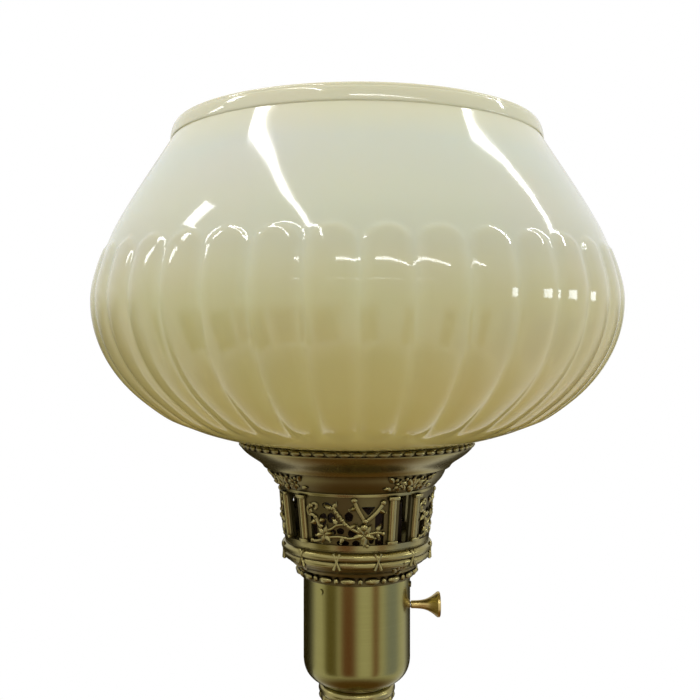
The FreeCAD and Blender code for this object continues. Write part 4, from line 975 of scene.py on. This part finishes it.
def area_light(name, place_of, size, glow, turn=(0, 0, 0), colour=(1, 1, 1)):
    """A flat light of a size, facing down unless it is turned; a glow of 1 looks white."""
    lamp = bpy.data.lights.new(name, "AREA")
    lamp.shape = "RECTANGLE"
    lamp.size, lamp.size_y = size
    lamp.energy = 4 * glow * size[0] * size[1]
    lamp.color = colour
    holder = bpy.data.objects.new(name, lamp)
    bpy.context.collection.objects.link(holder)
    holder.location = place_of
    holder.rotation_euler = turn
    holder.visible_camera = False
    return holder


def tube_light(name, start, end, width, glow):
    """A long ceiling tube between two places."""
    start, end = Vector(start), Vector(end)
    along = end - start
    area_light(name, (start + end) / 2, (along.length, width), glow,
               (0, 0, math.atan2(along.y, along.x)))


def card_cloth(name, code, edge, strength=1.0, round_card=False):
    """What a screen is covered with: a plain colour that runs out softly, over an edge's share
    of the card, into the white of the room."""
    material = bare(bpy.data.materials.new(name + "_cloth"))
    where = add(material, "TexCoord").outputs["Generated"]
    off = add(material, "Mapping", {"Vector": where, "Location": (-1, -1, -1), "Scale": (2, 2, 2)})
    axes = add(material, "SeparateXYZ", {0: off.outputs[0]})
    if round_card:
        flat = add(material, "CombineXYZ", {"X": axes.outputs["X"], "Y": axes.outputs["Y"]})
        far = add(material, "VectorMath", {0: flat.outputs[0]}, operation="LENGTH")
        offs = [(far.outputs["Value"], edge)]
    else:
        offs = [(add(material, "Math", {0: axes.outputs[axis]}, operation="ABSOLUTE").outputs[0],
                 share) for axis, share in (("X", edge), ("Z", 0.5))]
    fades = [add(material, "MapRange", {"Value": far, "From Min": 1 - share, "From Max": 1.0},
                 interpolation_type="SMOOTHSTEP").outputs[0] for far, share in offs]
    fade = add(material, "Math", {0: fades[0], 1: fades[-1]}, operation="MAXIMUM")
    white = [1 / strength] * 3 + [1]
    colour = add(material, "Mix", {0: fade.outputs[0], 6: linear(code), 7: white},
                 data_type="RGBA")
    glow = add(material, "Emission", {"Color": colour.outputs[2], "Strength": strength})
    add(material, "OutputMaterial", {"Surface": glow.outputs[0]})
    return material


def only_mirrored(card, material):
    """Keeps a card out of everything but what metal and glass mirror."""
    card.data.materials.append(material)
    for ray in ("camera", "diffuse", "transmission", "volume_scatter", "shadow"):
        setattr(card, "visible_" + ray, False)


def screen(name, bearing, width, low, high, code, edge=0.6, strength=1.0, distance=1.5):
    """An upright screen at a bearing from the front, as wide as an angle."""
    card = started(bpy.ops.mesh.primitive_plane_add, size=1)
    card.scale = (2 * distance * math.tan(math.radians(width) / 2), high - low, 1)
    card.rotation_euler = (math.pi / 2, 0, 0)
    card.location = (0, -distance, (low + high) / 2)
    place(card, name)
    only_mirrored(card, card_cloth(name, code, edge, strength))
    card.rotation_euler = (0, 0, math.radians(bearing))


def low_screen():
    """The brown carpet round the lamp's foot, as the flare and the cup mirror it from above."""
    card = started(bpy.ops.mesh.primitive_circle_add, vertices=96, radius=1, fill_type="NGON")
    card.scale = (2.0, 2.2, 1)
    card.location = (0, -0.3, 4 * MM)
    place(card, "low_screen")
    only_mirrored(card, card_cloth("low_screen", "#7c5a2c", 0.7, round_card=True))


def camera():
    """An eye close to the lamp's head, level with the bowl."""
    eye = bpy.data.cameras.new("eye")
    holder = bpy.data.objects.new("eye", eye)
    bpy.context.collection.objects.link(holder)
    holder.location = (EYE_ASIDE, -EYE_DISTANCE, EYE_HEIGHT)
    holder.rotation_euler = (EYE_TILT, 0, 0)
    eye.angle = EYE_ANGLE
    eye.clip_start = 10 * MM
    bpy.context.scene.camera = holder


def studio():
    """The room round the lamp: what lights it, and what its glass and metal mirror."""
    white_room()
    pale_floor()
    soft = area_light("soft_overhead", (0, -0.4, 3.2), (2.4, 2.4), 0.40)
    soft.visible_glossy = False
    # The left and right tubes are each in three lengths, which bend a little; the others lie
    # across the room.
    tubes = [("left_near", (-0.67, 0.05), (-0.54, -0.20), 0.042, 24),
             ("left_middle", (-0.54, -0.20), (-0.46, -0.50), 0.04, 24),
             ("left_far", (-0.46, -0.50), (-0.46, -1.10), 0.04, 24),
             ("right_near", (0.71, 0.07), (0.95, 0.26), 0.045, 20),
             ("right_middle", (0.95, 0.26), (1.20, 0.36), 0.055, 20),
             ("right_far", (1.20, 0.36), (2.05, 0.28), 0.07, 20),
             ("side", (-1.62, -0.12), (-1.05, -0.09), 0.19, 10),
             ("far_side", (-2.0, -0.05), (-2.6, 0.40), 0.15, 8),
             ("front", (-0.15, -1.68), (1.50, -1.62), 0.085, 17),
             ("distant", (-0.9, -3.9), (2.2, -3.9), 0.12, 5)]
    for name, start, end, width, glow in tubes:
        tube_light(name + "_tube", (*start, CEILING), (*end, CEILING), width, glow)
    area_light("window", (2.49, -0.17, 1.65), (0.75, 0.26), 7,
               (math.pi / 2, 0, math.radians(86)), (0.88, 0.94, 1.0))
    # Furnishings round the room, as bands of colour on the cup.
    screen("red_brown_screen", -18, 52, 0.2, 1.4, "#8a4a20", 0.75)
    screen("olive_screen", -57, 42, 0.2, 1.4, "#7f7234", 0.6)
    screen("tan_screen", 40, 24, 0.2, 1.4, "#9c6440", 0.75)
    screen("pale_screen", 80, 58, 0.2, 1.4, "#bcc6ee", 0.8)
    screen("dark_screen", -168, 144, -0.6, 1.8, "#30280f", 0.75)
    screen("back_screen", 180, 66, 1.18, 2.2, "#a9a68c", 0.9)
    low_screen()


camera()
studio()
finish_cad_nodes()
dress(glass_shade(), "shade", "custard_glass", "glass_shade")
dress(flared_holder(), "root", "antique_brass", "shade_holder")
dress(pierced_gallery(), "root", "antique_brass", "gallery_drum")
dress(gallery_fitter(), "root", "antique_brass", "gallery_base")
dress(lobed_ring(), "root", "antique_brass", "neck_ring")
dress(lobed_knop(), "root", "antique_brass", "middle_knop")
dress(lobed_vase(), "root", "antique_brass", "lower_vase")
dress(beaded_foot(), "root", "antique_brass", "base_foot_ring")

bpy.context.scene.view_settings.view_transform = "Standard"
